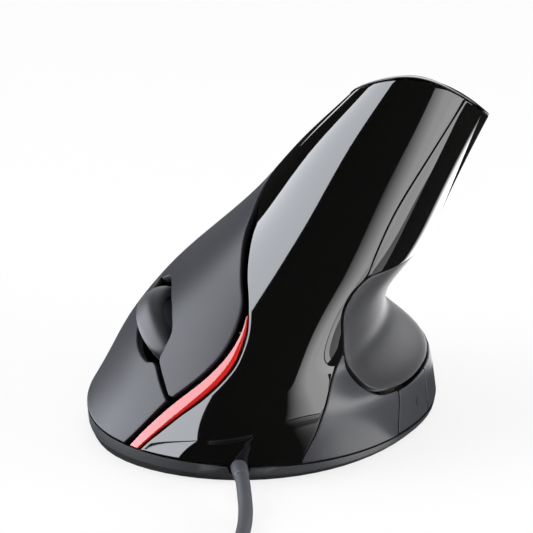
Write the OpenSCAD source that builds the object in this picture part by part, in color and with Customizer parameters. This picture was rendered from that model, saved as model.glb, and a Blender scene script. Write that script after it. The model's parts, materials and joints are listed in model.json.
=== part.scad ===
// Vertical ergonomic mouse for the right hand, with a corded lead.
// Front (cord) is -Y, the thumb side is +X, the finger side is -X, and the desk is z = 0.

/* [Body] */
// Overall width across the finger side and the thumb side
body_w = 104; // [80:1:130]
// Overall length from the bow to the heel
body_l = 101.5; // [80:0.5:130]
// Height of the fin above the desk
body_h = 98; // [75:1:120]
// Wall of the moulded shells
wall = 2; // [1.4:0.1:2.6]
// Width of the seams between the shells
seam = 0.4; // [0.3:0.05:0.8]
// Height of the slab that closes the fin
cap_rise = 1.2; // [1:0.1:3]
// Width of the bevel round that slab
cap_bevel = 4.5; // [1:0.1:6]

/* [Thumb pad] */
// Thickness of the rubber thumb pad
pad_wall = 2.4; // [1.6:0.1:3]
// Depth of the hollow pressed into the pad
pad_scoop = 2.2; // [0:0.1:3]
// How far the pad's rim lies below the shell
pad_sink = 0.4; // [0:0.1:0.8]

/* [Buttons] */
// How far a finger button's edge goes in
key_travel = 0.6; // [0.4:0.1:1]
// Thickness of the finger buttons
key_wall = 2; // [1.4:0.1:2.4]
// Thickness of the thumb buttons
side_wall = 1.8; // [1.4:0.1:2.2]
// Diameter of the stems that press the switches
stem_d = 3; // [2:0.1:4]

/* [Wheel] */
// Outer diameter of the wheel's tyre
wheel_d = 25; // [22:0.5:26]
// Width of the tyre
wheel_w = 7.6; // [6:0.1:8]
// How far the wheel stands proud of the skin
wheel_out = 4.1; // [3:0.1:5]
// Diameter of the hub inside the tyre
hub_d = 19; // [14:0.5:20]
// Width of the hub
hub_w = 6.4; // [5:0.1:7]
// Diameter of the axle
axle_d = 3; // [2:0.1:4]
// Length of the axle
axle_l = 17.4; // [16:0.1:20]
// Gap round the axle in its bearings
axle_gap = 0.08; // [0.02:0.01:0.1]

/* [Wheel carrier] */
// Clear width between the carrier's arms
fork_w = 9.2; // [8.4:0.1:10]
// Thickness of the carrier's arms and foot
fork_wall = 1.8; // [1.4:0.1:2.4]
// Width of each arm
arm_w = 8; // [6:0.5:10]
// Distance from the axle to the foot of the carrier
fork_drop = 13.4; // [13.2:0.1:16]
// Length of the foot
foot_l = 14; // [10:0.5:16]
// How far the wheel clicks down
click_travel = 0.5; // [0.3:0.1:0.8]

/* [Finger board] */
// Thickness of the circuit boards
board_t = 1.6; // [1:0.1:2]
// Length of the finger board along the finger
board_l = 20; // [18:0.5:24]
// Width of the finger board
board_w = 31.5; // [30:0.5:36]
// Length of a finger switch
switch_l = 12.8; // [10:0.1:13]
// Width of a finger switch
switch_w = 5.8; // [5:0.1:6.5]
// Height of a finger switch
switch_h = 6.5; // [5:0.1:7]
// Side of a small tactile switch
tact_w = 6; // [4:0.1:7]
// Height of a small tactile switch
tact_h = 3.5; // [3:0.1:5]
// Diameter of a switch plunger
plunger_d = 2.4; // [1.6:0.1:3]
// Height of a switch plunger
plunger_h = 0.5; // [0.3:0.1:0.8]
// Width of the turn sensor beside the wheel
encoder_w = 5; // [4:0.1:5.4]
// Length of the turn sensor
encoder_l = 11; // [9:0.5:12]
// Height of the turn sensor
encoder_h = 8; // [6:0.5:9]
// Gap between the turn sensor and the index finger's stem
stem_side = 0.6; // [0.4:0.1:1.5]
// Diameter of the posts that carry the finger board
post_d = 5; // [4:0.5:7]

/* [Base] */
// Thickness of the base's floor
floor_t = 1.6; // [1.2:0.1:2]
// Height of the glide feet, which lift the base off the desk
foot_t = 0.5; // [0.4:0.1:1.2]
// How far the base's underside is drawn in from its rim
base_draw = 1.6; // [1:0.1:4]
// Width of the base's rim
rim_w = 2.2; // [1.6:0.1:3]
// Height of the bosses under the main board
boss_h = 3; // [2:0.5:5]
// Diameter of those bosses
boss_d = 5; // [4:0.5:7]
// Length of the sensor window
window_l = 14; // [10:0.5:18]
// Width of the sensor window
window_w = 10; // [8:0.5:14]
// Diameter of a screw head
head_d = 5; // [4:0.1:6]
// Height of a screw head
head_h = 1; // [0.8:0.1:1.2]
// Diameter of a screw shank
shank_d = 2.4; // [2:0.1:3]
// Length of a screw shank
shank_l = 6; // [4:0.5:8]
// Width of a glide foot
glide_w = 5; // [3:0.5:7]
// Length of a glide foot
glide_l = 22; // [14:0.5:26]

/* [Boards in the base] */
// Length of the main board, along Y
main_l = 26; // [22:0.5:28]
// Width of the main board, along X
main_w = 44; // [36:0.5:46]
// Length of the sensor chip
chip_l = 16; // [12:0.5:18]
// Width of the sensor chip
chip_w = 9.4; // [8:0.1:12]
// Height of the sensor chip
chip_h = 3; // [2:0.1:4]
// Height of the board that carries the thumb switches
side_h = 10.4; // [9:0.1:11]
// Length of that board
side_l = 32; // [28:0.5:34]

/* [Cord] */
// Diameter of the cord
cord_d = 3.6; // [3:0.1:4]
// Diameter of the strain relief where it leaves the body
relief_d = 4.2; // [4.2:0.1:5]
// Diameter of the notch that the relief comes out of
notch_d = 5.6; // [5.4:0.1:6.4]
// Length of the strain relief outside the body
relief_l = 6.5; // [5:0.5:9]
// Angle by which the cord leaves the body towards the thumb side
exit_turn = 14; // [0:1:20]
// Number of loops in each layer of the coil
loops = 5; // [4:1:6]
// Middle diameter of the coil
coil_d = 40; // [36:1:44]
// Gap between the coil's neighbouring loops
loop_gap = 0.55; // [0.5:0.05:0.8]
// Width of the strap round the coil
tie_w = 6; // [4:0.5:8]
// Thickness of that strap
tie_t = 0.8; // [0.6:0.1:1]

/* [Plug] */
// Width of the plug's grip
grip_w = 16; // [14:0.5:18]
// Height of the plug's grip
grip_h = 8.4; // [7:0.1:9]
// Length of the plug's grip
grip_l = 20; // [16:0.5:24]
// Width of the plug's metal shell
plug_w = 12; // [11.5:0.1:12.5]
// Height of the plug's metal shell
plug_h = 4.5; // [4.3:0.1:4.7]
// Length of the plug's metal shell
plug_l = 12; // [11:0.5:14]
// Wall of the plug's metal shell
plug_wall = 0.4; // [0.3:0.05:0.6]

/* [Hidden] */
$fn = 48;
// One overrun for every cut
over = 0.5;
// Touching faces of separate pieces keep this gap
fit = 0.1;
up = [0, 0, 1];

// The skin is a bicubic B-spline: ten rows of eight control points.
// Shares of the body's height, then leans along X and Y, then the crown as a share of the height
rise_share = [0.051, 0.117, 0.189, 0.255, 0.327, 0.408, 0.500, 0.622, 0.765, 0.929];
lean_x_share = [-0.04, -0.03, 0, 0, 0, 0, 0, -0.02, -0.06, -0.10];
lean_y_share = [0, 0, 0, 0, 0, 0, 0, -0.08, -0.20, -0.33];
crown_share = [0, 0, 0, 0, 0, 0, 0, 0.010, 0.026, 0.080];
// Shares of the body's width
finger_share = [-0.493, -0.460, -0.432, -0.400, -0.351, -0.288, -0.188, -0.065, 0.034, 0.157];
thumb_share = [0.377, 0.369, 0.359, 0.254, 0.254, 0.285, 0.358, 0.404, 0.454, 0.500];
bow_x_share = [-0.058, -0.048, -0.029, 0, 0.029, 0.067, 0.115, 0.183, 0.260, 0.337];
heel_x_share = [-0.038, -0.029, -0.019, 0, 0.038, 0.077, 0.125, 0.173, 0.269, 0.346];
// Shares of the body's length
bow_share = [-0.498, -0.498, -0.478, -0.448, -0.404, -0.355, -0.300, -0.227, -0.153, -0.079];
heel_share = [0.493, 0.502, 0.493, 0.473, 0.443, 0.414, 0.374, 0.345, 0.315, 0.286];
finger_y_share = [0, 0, 0, 0, 0, 0, 0.020, 0.039, 0.059, 0.079];
thumb_y_share = [0.059, 0.059, 0.079, 0.079, 0.079, 0.079, 0.079, 0.079, 0.079, 0.099];
pivot_y_share = 0.099;
// Fullness of the corners: bow to thumb, thumb to heel, heel to finger, finger to bow
full_ft_share = [0.50, 0.58, 0.65, 0.68, 0.70, 0.70, 0.70, 0.70, 0.70, 0.70];
full_th_share = [0.70, 0.70, 0.60, 0.45, 0.40, 0.45, 0.60, 0.70, 0.70, 0.70];
full_hf_share = 0.75;
full_fb_share = [0.68, 0.66, 0.66, 0.66, 0.70, 0.70, 0.70, 0.70, 0.70, 0.70];

rows_n = len(rise_share);
function mix(a, b, t) = a + (b - a) * t;
function unit(a) = a / norm(a);
function corner(a, b, c, full) = mix((a + b) / 2, c, full);
function row_flat(k) =
    let (x0 = finger_share[k] * body_w, x1 = thumb_share[k] * body_w)
    let (y0 = bow_share[k] * body_l, y1 = heel_share[k] * body_l)
    let (f = [bow_x_share[k] * body_w, y0], t = [x1, thumb_y_share[k] * body_l])
    let (h = [heel_x_share[k] * body_w, y1], g = [x0, finger_y_share[k] * body_l])
    let (ft = corner(f, t, [x1, y0], full_ft_share[k]), th = corner(t, h, [x1, y1], full_th_share[k]))
    let (hg = corner(h, g, [x0, y1], full_hf_share), gf = corner(g, f, [x0, y0], full_fb_share[k]))
    [(6 * f - gf - ft) / 4, ft, (6 * t - ft - th) / 4, th, (6 * h - th - hg) / 4, hg,
        (6 * g - hg - gf) / 4, gf];
function row_points(k) =
    let (xm = (finger_share[k] + thumb_share[k]) / 2 * body_w)
    let (half = (thumb_share[k] - finger_share[k]) / 2 * body_w)
    [for (p = row_flat(k)) [p[0], p[1], rise_share[k] * body_h + lean_x_share[k] * (p[0] - xm)
        + lean_y_share[k] * (p[1] - pivot_y_share * body_l)
        - crown_share[k] * body_h * pow((p[0] - xm) / half, 2)]];
rows = [for (k = [0:rows_n - 1]) row_points(k)];
net = concat([2 * rows[0] - rows[1]], rows, [2 * rows[rows_n - 1] - rows[rows_n - 2]]);
function blend(t) = [pow(1 - t, 3) / 6, (3 * pow(t, 3) - 6 * pow(t, 2) + 4) / 6,
    (-3 * pow(t, 3) + 3 * pow(t, 2) + 3 * t + 1) / 6, pow(t, 3) / 6];
// u runs round the body from the bow over the thumb side, v from the base seam to the top
function skin(u, v) =
    let (s = v * (rows_n - 1), i = max(min(floor(s), rows_n - 2), 0))
    let (a = 8 * (u - floor(u)), j = floor(a), across = blend(a - j))
    blend(s - i) * [for (m = [0:3]) across * [for (n = [0:3]) net[i + m][(j + n + 7) % 8]]];
tiny_share = 0.002;
function skin_n(u, v) = unit(cross(skin(u + tiny_share, v) - skin(u - tiny_share, v),
    skin(u, min(v + tiny_share, 1)) - skin(u, max(v - tiny_share, 0))));

// Seams, each a list of [u, v] places on the skin
lower_seam_share = [[0.062, 0], [0.066, 0.05], [0.072, 0.12], [0.077, 0.20], [0.086, 0.273],
    [0.100, 0.347], [0.1135, 0.40]];
pad_front_share = [[0.101, 0.468], [0.084, 0.525], [0.073, 0.573], [0.073, 0.615]];
upper_seam_share = [[0.083, 0.652], [0.079, 0.70], [0.078, 0.757], [0.083, 0.81], [0.100, 0.90],
    [0.119, 1]];
panel_back_share = [[0.45, 0.672], [0.45, 0.72], [0.45, 0.77], [0.45, 0.83], [0.45, 0.91], [0.45, 1]];
groove_share = [[-0.086, 0], [-0.080, 0.05], [-0.071, 0.108], [-0.059, 0.182], [-0.046, 0.255],
    [-0.036, 0.347], [-0.033, 0.41], [-0.038, 0.49], [-0.052, 0.56], [-0.072, 0.622],
    [-0.110, 0.702], [-0.150, 0.76], [-0.236, 0.815], [-0.33, 0.822]];
groove_back_share = [[-0.33, 0.822], [-0.40, 0.845], [-0.42, 0.92], [-0.42, 1]];
strip_left_share = [[-0.099, 0], [-0.091, 0.08], [-0.082, 0.152], [-0.069, 0.242], [-0.057, 0.323],
    [-0.048, 0.40], [-0.045, 0.45], [-0.0455, 0.50], [-0.050, 0.545]];
strip_right_share = [[-0.088, 0], [-0.076, 0.09], [-0.067, 0.145], [-0.051, 0.24], [-0.040, 0.325],
    [-0.0355, 0.40], [-0.037, 0.45], [-0.0405, 0.50], [-0.0485, 0.55]];
index_low_share = [[-0.0812, 0.247], [-0.096, 0.298], [-0.114, 0.357], [-0.1165, 0.397],
    [-0.121, 0.455], [-0.138, 0.50], [-0.158, 0.530], [-0.188, 0.555], [-0.215, 0.555],
    [-0.240, 0.520], [-0.27, 0.504], [-0.33, 0.504]];
index_high_share = [[-0.0748, 0.2455], [-0.066, 0.30], [-0.057, 0.365], [-0.0515, 0.43],
    [-0.0525, 0.505], [-0.062, 0.575], [-0.080, 0.625], [-0.105, 0.675], [-0.137, 0.722],
    [-0.175, 0.770], [-0.236, 0.806], [-0.33, 0.815]];
middle_high_share = [[-0.079, 0.228], [-0.098, 0.288], [-0.117, 0.343], [-0.130, 0.338],
    [-0.150, 0.356], [-0.171, 0.386], [-0.205, 0.443], [-0.238, 0.496], [-0.27, 0.503],
    [-0.33, 0.503]];
middle_low_share = [[-0.105, 0], [-0.118, 0], [-0.132, 0], [-0.145, 0], [-0.160, 0], [-0.18, 0],
    [-0.21, 0], [-0.245, 0], [-0.275, 0], [-0.33, 0]];
thumb_back_share = [[0.171, 0], [0.171, 0.06], [0.171, 0.13], [0.171, 0.186]];
thumb_top_share = [[0.171, 0.186], [0.146, 0.206], [0.127, 0.268], [0.117, 0.392]];
forward_low_share = [[0.171, 0], [0.19, 0], [0.21, 0], [0.23, 0]];
forward_high_share = [[0.171, 0.188], [0.19, 0.182], [0.21, 0.180], [0.23, 0.179]];
back_low_share = [[0.23, 0], [0.25, 0], [0.27, 0], [0.288, 0]];
back_high_share = [[0.23, 0.179], [0.25, 0.179], [0.27, 0.181], [0.288, 0.185]];
pad_low_share = [[0.076, 0.59], [0.082, 0.545], [0.104, 0.468], [0.117, 0.403], [0.127, 0.33],
    [0.138, 0.252], [0.161, 0.217], [0.20, 0.200], [0.26, 0.197], [0.315, 0.212], [0.353, 0.28],
    [0.367, 0.40]];
pad_high_share = [[0.076, 0.60], [0.079, 0.63], [0.089, 0.649], [0.106, 0.654], [0.126, 0.655],
    [0.15, 0.655], [0.20, 0.653], [0.25, 0.655], [0.30, 0.646], [0.339, 0.610], [0.359, 0.54],
    [0.368, 0.44]];
palm_left_share = [[-0.712, 0], [-0.712, 0.09], [-0.712, 0.185]];
palm_pad_share = [[-0.712, 0.185], [-0.68, 0.198], [-0.643, 0.268], [-0.629, 0.40], [-0.638, 0.53],
    [-0.656, 0.616], [-0.69, 0.6644]];
palm_panel_share = [[-0.69, 0.6644], [-0.62, 0.6682], [-0.55, 0.672]];
palm_top_share = [[-0.55, 0.672], [-0.55, 0.75], [-0.55, 0.83], [-0.55, 0.91], [-0.55, 1]];
palm_right_share = [[-0.33, 0], [-0.33, 0.09], [-0.33, 0.185], [-0.33, 0.26], [-0.33, 0.33],
    [-0.33, 0.41], [-0.33, 0.49], [-0.33, 0.56], [-0.33, 0.62], [-0.33, 0.655], [-0.33, 0.686],
    [-0.33, 0.822]];

// A point along one run of keys, from a cubic through them
function on_keys(keys, s) =
    let (n = len(keys) - 1, i = min(floor(s), n - 1), f = s - i, b = keys[i], c = keys[i + 1])
    let (a = i > 0 ? keys[i - 1] : 2 * b - c, d = i < n - 1 ? keys[i + 2] : 2 * c - b)
    (2 * b + (c - a) * f + (2 * a - 5 * b + 4 * c - d) * f * f
        + (3 * b - a - 3 * c + d) * f * f * f) / 2;
// An edge is a list of runs, and turns a corner where one run ends and the next starts
function on_runs(runs, s, k = 0) =
    let (n = len(runs[k]) - 1)
    s > n && k < len(runs) - 1 ? on_runs(runs, s - n, k + 1) : on_keys(runs[k], s);
function along(runs, t) = on_runs(runs, t * total([for (r = runs) len(r) - 1]));
// Grid of places between two edges, nj steps along them and ni across
function places(low, high, nj, ni) = [for (j = [0:nj]) [for (i = [0:ni])
    mix(along(low, j / nj), along(high, j / nj), i / ni)]];
// The step from an edge point into the shell, square to the edge
function inward(p, q, before, after) =
    let (t = unit(after - before), d = q - p)
    unit(d - t * (d * t));
function side_step(g, j, i, next, nj) =
    inward(g[j][i], g[j][next], g[max(j - 1, 0)][i], g[min(j + 1, nj)][i]);
// Edge points move in by the gap, and the points beside them by less and less
function trimmed(g, j, i, nj, ni, gap) = g[j][i]
    + gap * pow(1 - i / ni, 4) * side_step(g, j, 0, 1, nj)
    + gap * pow(i / ni, 4) * side_step(g, j, ni, ni - 1, nj)
    + (j == 0 || j == nj ? gap * inward(g[j][i], g[j == 0 ? 1 : nj - 1][i],
        g[j][max(i - 1, 0)], g[j][min(i + 1, ni)]) : [0, 0, 0]);
function grid_faces(nj, ni, from, flip) = [for (j = [0:nj - 1], i = [0:ni - 1], h = [0, 1])
    let (a = from + j * (ni + 1) + i, b = a + 1, c = a + ni + 1, d = c + 1)
    let (f = h == 0 ? [a, b, d] : [a, d, c]) flip ? [f[2], f[1], f[0]] : f];
function rim_index(nj, ni) = concat([for (i = [0:ni - 1]) i],
    [for (j = [0:nj - 1]) j * (ni + 1) + ni], [for (i = [0:ni - 1]) nj * (ni + 1) + ni - i],
    [for (j = [0:nj - 1]) (nj - j) * (ni + 1)]);
function rim_faces(nj, ni, flip) =
    let (r = rim_index(nj, ni), m = len(r), below = (nj + 1) * (ni + 1))
    [for (k = [0:m - 1], h = [0, 1])
        let (a = r[k], b = r[(k + 1) % m], c = a + below, d = b + below)
        let (f = h == 0 ? [a, d, b] : [a, c, d]) flip ? [f[2], f[1], f[0]] : f];
// A shell between two seams; turned says that the seams themselves run up the body or back along it
module shell(low, high, nj, ni, thick, gap, turned, scoop = 0, sink = 0) {
    at = places(low, high, nj, ni);
    raw = [for (r = at) [for (p = r) skin(p[0], p[1])]];
    out = [for (j = [0:nj], i = [0:ni])
        let (n = skin_n(at[j][i][0], at[j][i][1]))
        trimmed(raw, j, i, nj, ni, gap) - n * (sink + scoop * sin(180 * i / ni) * sin(180 * j / nj))];
    inn = [for (j = [0:nj], i = [0:ni])
        out[j * (ni + 1) + i] - skin_n(at[j][i][0], at[j][i][1]) * thick];
    polyhedron(points = concat(out, inn),
        faces = concat(grid_faces(nj, ni, 0, turned), grid_faces(nj, ni, len(out), !turned),
            rim_faces(nj, ni, turned)));
}

// Layers of rings, closed at both ends by strips across the ring
module rings(layers) {
    m = len(layers[0]);
    last = (len(layers) - 1) * m;
    polyhedron(points = [for (r = layers, p = r) p],
        faces = concat(
            [for (k = [0:len(layers) - 2], i = [0:m - 1], h = [0, 1])
                let (a = k * m + i, b = k * m + (i + 1) % m, c = a + m, d = b + m)
                h == 0 ? [a, d, b] : [a, c, d]],
            [for (i = [0:m / 2 - 2]) [i, i + 1, m - i - 1]],
            [for (i = [1:m / 2 - 1]) [i, m - i - 1, m - i]],
            [for (i = [0:m / 2 - 2]) last * [1, 1, 1] + [i, m - i - 1, i + 1]],
            [for (i = [1:m / 2 - 1]) last * [1, 1, 1] + [i, m - i, m - i - 1]]));
}
ring_n = 64;
// Places of the ring start at the thumb side, so that the closing strips run along Y
function ring_u(i) = 0.25 + i / ring_n;

// Wheel frame: x along the axle towards the index finger, y along the finger, z out of the skin
wheel_at_share = [-0.17, 0.472];
slot_low_share = [-0.129, 0.391];
slot_high_share = [-0.214, 0.523];
wheel_z = skin_n(wheel_at_share[0], wheel_at_share[1]);
slot_run = skin(slot_high_share[0], slot_high_share[1]) - skin(slot_low_share[0], slot_low_share[1]);
wheel_y = unit(slot_run - wheel_z * (slot_run * wheel_z));
wheel_x = cross(wheel_y, wheel_z);
wheel_c = skin(wheel_at_share[0], wheel_at_share[1]) - wheel_z * (wheel_d / 2 - wheel_out);
module in_wheel() {
    multmatrix([[wheel_x[0], wheel_y[0], wheel_z[0], wheel_c[0]],
        [wheel_x[1], wheel_y[1], wheel_z[1], wheel_c[1]],
        [wheel_x[2], wheel_y[2], wheel_z[2], wheel_c[2]],
        [0, 0, 0, 1]]) children();
}
fork_bottom = -fork_drop - fork_wall;
board_top = fork_bottom - click_travel - plunger_h - fit - tact_h;
board_share = [0.452, 0.38];
board_x = [-board_w * board_share[0], board_w * (1 - board_share[0])];
board_y = [-board_l * board_share[1], board_l * (1 - board_share[1])];
// Each finger switch stands under a place on the skin, and so does its button's stem
index_stem_share = [-0.122, 0.5587];
middle_stem_share = [-0.2024, 0.3754];
function under_skin(at) =
    let (p = skin(at[0], at[1]) - skin_n(at[0], at[1]) * key_wall / 2 - wheel_c)
    [p * wheel_x, p * wheel_y, p * wheel_z];
index_under = under_skin(index_stem_share);
index_n = skin_n(index_stem_share[0], index_stem_share[1]);
// The index finger's stem goes down beside the turn sensor, and its head follows the skin
index_x = fork_w / 2 + fork_wall + encoder_w + stem_side + stem_d / 2;
index_at = [index_x, index_under[1],
    index_under[2] - (index_x - index_under[0]) * (index_n * wheel_x) / (index_n * wheel_z)];
middle_at = under_skin(middle_stem_share);
switch_top = board_top + switch_h + plunger_h;
// A stem still clears its switch when the button is all the way in
stem_gap = key_travel + 3 * fit;

// Base
floor_z = foot_t + floor_t;
main_z = floor_z + boss_h;
main_at_share = [-0.05, 0.19];
main_at = [main_at_share[0] * body_w, main_at_share[1] * body_l];
screw_share = [[-0.25, -0.296], [0.173, -0.276], [-0.212, 0.370], [0.154, 0.360]];
function screw_at(k) = [screw_share[k][0] * body_w, screw_share[k][1] * body_l];
glide_share = [[-0.048, -0.37], [-0.03, 0.40], [-0.39, 0], [0.29, 0.08]];
function glide_at(k) = [glide_share[k][0] * body_w, glide_share[k][1] * body_l];

// Thumb switches
side_x_share = 0.24;
side_x = side_x_share * body_w;
forward_y_share = -0.085;
back_y_share = 0.125;
tact_z = floor_z + side_h * 0.58;

// Cord: the route of the free lead, a list of points chosen by hand
exit_share = [-0.038, -0.498];
exit_z = 4.6;
exit_at = [exit_share[0] * body_w, exit_share[1] * body_l, exit_z];
exit_way = [sin(exit_turn), -cos(exit_turn), 0];
relief_end = exit_at + relief_l * exit_way;
// The relief's collar sits in a pocket of the base, behind the rim
relief_in = rim_w * 2;
collar_d = notch_d * 1.15;
cord_route = [relief_end, relief_end + cord_d * exit_way,
    [-0.3, -66, 3.8], [0.9, -72, 2.5], [1.8, -79, 1.9], [2.3, -86, 1.9], [2.8, -94, 1.9],
    [3.9, -103, 1.9], [6, -112, 1.9], [8.7, -122, 1.9], [11, -132, 1.9], [12, -141, 2.3]];
coil_end = [12, -154];
step = cord_d + loop_gap;
coil_z = tie_t + fit + cord_d / 2;
coil_out = coil_d / 2 + step * loops / 2;
coil_at = [coil_end[0] - coil_out, coil_end[1]];
tail_flat = 14;
tail_drop = 20;
grip_z = grip_h / 2 + tie_t / 2;
// Points of the coil: in on the first layer, out again on the second
loop_rings = 24;
turns = 2 * loops;
function coil_r(t) = coil_out - step * (t < loops ? t : turns - t);
function coil_rise(t) = t < loops - 0.25 ? 0 : t > loops + 0.25 ? 1 : (t - loops + 0.25) * 2;
function coil_point(t) = [coil_at[0] + coil_r(t) * cos(360 * t), coil_at[1] - coil_r(t) * sin(360 * t),
    coil_z + step * coil_rise(t)];
tail_from = coil_point(turns);
coil_path = concat([coil_point(0) + [0, cord_d, 0]],
    [for (i = [0:turns * loop_rings]) coil_point(i / loop_rings)],
    [tail_from - [0, tail_flat / 2, 0], tail_from - [0, tail_flat, 0],
        [tail_from[0], tail_from[1] - tail_flat - tail_drop, grip_z],
        [tail_from[0], tail_from[1] - tail_flat - tail_drop - cord_d, grip_z]]);
plug_at = coil_path[len(coil_path) - 1];
lead_path = concat(cord_route, [coil_path[0] + [0, cord_d, 0], coil_path[0]]);
function spread(pts, i, n) = min([for (k = [i + n:len(pts) - 1]) norm(pts[k] - pts[i])]);
loops_apart = min([for (i = [1:len(coil_path) - loop_rings / 2 - 5])
    spread(coil_path, i, loop_rings / 2)]) - cord_d;
function run(pts) = [for (i = [1:len(pts) - 1]) norm(pts[i] - pts[i - 1])];
function total(v, i = 0) = i < len(v) ? v[i] + total(v, i + 1) : 0;
cord_length = total(run(lead_path)) + total(run(coil_path));
echo(least_gap_between_loops = loops_apart, cord_length = cord_length);

module tube(pts, d, sides) {
    n = len(pts);
    ring = [for (i = [0:n - 1])
        let (t = unit(pts[min(i + 1, n - 1)] - pts[max(i - 1, 0)]), s = unit(cross(t, up)))
        let (w = cross(s, t))
        for (k = [0:sides - 1]) pts[i] + (s * cos(360 * k / sides) + w * sin(360 * k / sides)) * d / 2];
    polyhedron(points = ring, faces = concat(
        [for (i = [0:n - 2], k = [0:sides - 1], h = [0, 1])
            let (a = i * sides + k, b = i * sides + (k + 1) % sides, c = a + sides, d2 = b + sides)
            h == 0 ? [a, b, d2] : [a, d2, c]],
        [for (k = [1:sides - 2]) [0, k + 1, k]],
        [for (k = [1:sides - 2]) (n - 1) * sides * [1, 1, 1] + [0, k, k + 1]]));
}

module base_ring_tray() {
    function edge(i, drawn, z) =
        let (p = skin(ring_u(i), 0), n = skin_n(ring_u(i), 0), m = unit([n[0], n[1]]))
        [p[0] - m[0] * drawn, p[1] - m[1] * drawn, z];
    function seam_z(i) = skin(ring_u(i), 0)[2] - seam;
    // The rim slopes as the lower edges of the shells do
    function dip(i) = let (n = skin_n(ring_u(i), 0)) max(n[2], 0) / norm([n[0], n[1]]) * rim_w;
    all = [0:ring_n - 1];
    rings([[for (i = all) edge(i, base_draw, foot_t)],
        [for (i = all) edge(i, base_draw * 0.3, mix(foot_t, seam_z(i), 0.42))],
        [for (i = all) edge(i, seam / 2, seam_z(i))],
        [for (i = all) edge(i, rim_w, seam_z(i) - dip(i))],
        [for (i = all) edge(i, rim_w + wall, floor_z)]]);
}
// Places its children on the line along which the cord leaves, back inside the body by a distance
module out_of_bow(inside) {
    translate(exit_at - inside * exit_way) rotate([90, 0, exit_turn]) children();
}
module cord_notch(d) {
    out_of_bow(rim_w * 3) cylinder(d = d, h = rim_w * 4);
}
module base_plate() {
    color("#2b2c30") difference() {
        union() {
            base_ring_tray();
            for (x = [-1, 1], y = [-1, 1])
                translate([main_at[0] + x * (main_w - boss_d) / 2, main_at[1] + y * (main_l - boss_d) / 2,
                    floor_z - over]) cylinder(d = boss_d, h = boss_h + over);
            for (k = [0:3])
                translate([screw_at(k)[0], screw_at(k)[1], floor_z - over])
                    cylinder(d = head_d + wall / 2, h = shank_l - floor_t + over);
        }
        for (k = [0:3]) translate([screw_at(k)[0], screw_at(k)[1], 0]) {
            cylinder(d = head_d + 2 * fit, h = foot_t + head_h);
            cylinder(d = shank_d + 2 * fit, h = foot_t + floor_t + shank_l + over);
        }
        translate([main_at[0], main_at[1], floor_z / 2])
            cube([window_w, window_l, floor_z + over], center = true);
        cord_notch(notch_d);
        out_of_bow(relief_in + fit) cylinder(d = collar_d + 2 * fit, h = wall / 2 + 2 * fit);
    }
}
module front_shell() {
    color("#101114") difference() {
        shell([groove_share, groove_back_share],
            [concat(lower_seam_share, pad_front_share, upper_seam_share)], 48, 12, wall, seam / 2, true);
        cord_notch(notch_d);
    }
}
module palm_shell() {
    color("#3c3e44") shell([palm_left_share, palm_pad_share, palm_panel_share, palm_top_share],
        [palm_right_share, groove_back_share], 28, 14, wall, seam / 2, true);
}
module thumb_shell() {
    color("#26272b") shell([lower_seam_share], [thumb_back_share, thumb_top_share], 12, 8, wall,
        seam / 2, true);
}
module thumb_panel() {
    color("#1a1b1e") shell([upper_seam_share], [panel_back_share], 10, 12, wall,
        seam / 2, true);
}
module top_cap() {
    top_n = unit(cross(skin(0.25, 1) - skin(-0.25, 1), skin(0.5, 1) - skin(0, 1)));
    middle = (skin(0.25, 1) + skin(-0.25, 1) + skin(0.5, 1) + skin(0, 1)) / 4;
    all = [0:ring_n - 1];
    lip = [for (i = all) skin(ring_u(i), 1)];
    above = [for (p = lip) (p - middle) * top_n];
    inward = [for (i = all) unit(middle + top_n * max(above[i], 0) - lip[i])];
    crest = max(above) + cap_rise;
    // The face is a vault. Where it meets the lip steeply, the lip's round is shorter.
    steep = [for (i = all) 2 * (max(above) - above[i]) / norm(lip[i] - middle)];
    turn = [for (i = all) atan2(cap_rise, cap_bevel * steep[i])];
    function edge(i, a) = lip[i] + inward[i] * cap_bevel * (1 - cos(a))
        + top_n * (seam + (cap_rise - seam) * sin(a));
    function face(i, share) = let (e = edge(i, turn[i]), h = (e - middle) * top_n)
        middle + (e - top_n * h - middle) * share + top_n * mix(crest, h, share * share);
    color("#0c0d10") rings([
        [for (i = all) lip[i] + inward[i] * cap_bevel + top_n * seam],
        [for (i = all) lip[i] + top_n * seam],
        for (part = [1, 2, 3]) [for (i = all) edge(i, turn[i] * part / 3)],
        for (share = [0.8, 0.55, 0.3]) [for (i = all) face(i, share)]]);
}
module thumb_pad() {
    color("#303237") shell([pad_low_share], [pad_high_share], 22, 10, pad_wall, seam / 4, false,
        pad_scoop, pad_sink);
}
module accent_strip() {
    color("#e0332f") shell([strip_left_share], [strip_right_share], 24, 3, wall, seam / 4, true);
}
module stem(at) {
    in_wheel() translate([at[0], at[1], switch_top + stem_gap])
        cylinder(d = stem_d, h = at[2] - switch_top - stem_gap);
}
module index_button() {
    color("#4a4c53") union() {
        shell([index_low_share], [index_high_share], 33, 6, key_wall, seam / 2, true);
        stem(index_at);
    }
}
module middle_button() {
    color("#4a4c53") union() {
        shell([middle_low_share], [middle_high_share], 27, 9, key_wall, seam / 2, true);
        stem(middle_at);
    }
}
module side_stem(y_share, u) {
    tip = side_x + board_t + tact_h + plunger_h + stem_gap;
    translate([tip, y_share * body_l, tact_z]) rotate([0, 90, 0])
        cylinder(d = stem_d, h = skin(u, 0.12)[0] - side_wall / 2 - tip);
}
module forward_button() {
    color("#3a3c42") union() {
        shell([forward_low_share], [forward_high_share], 9, 6, side_wall, seam / 2, false);
        side_stem(forward_y_share, 0.204);
    }
}
module back_button() {
    color("#3a3c42") union() {
        shell([back_low_share], [back_high_share], 9, 6, side_wall, seam / 2, false);
        side_stem(back_y_share, 0.259);
    }
}

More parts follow.
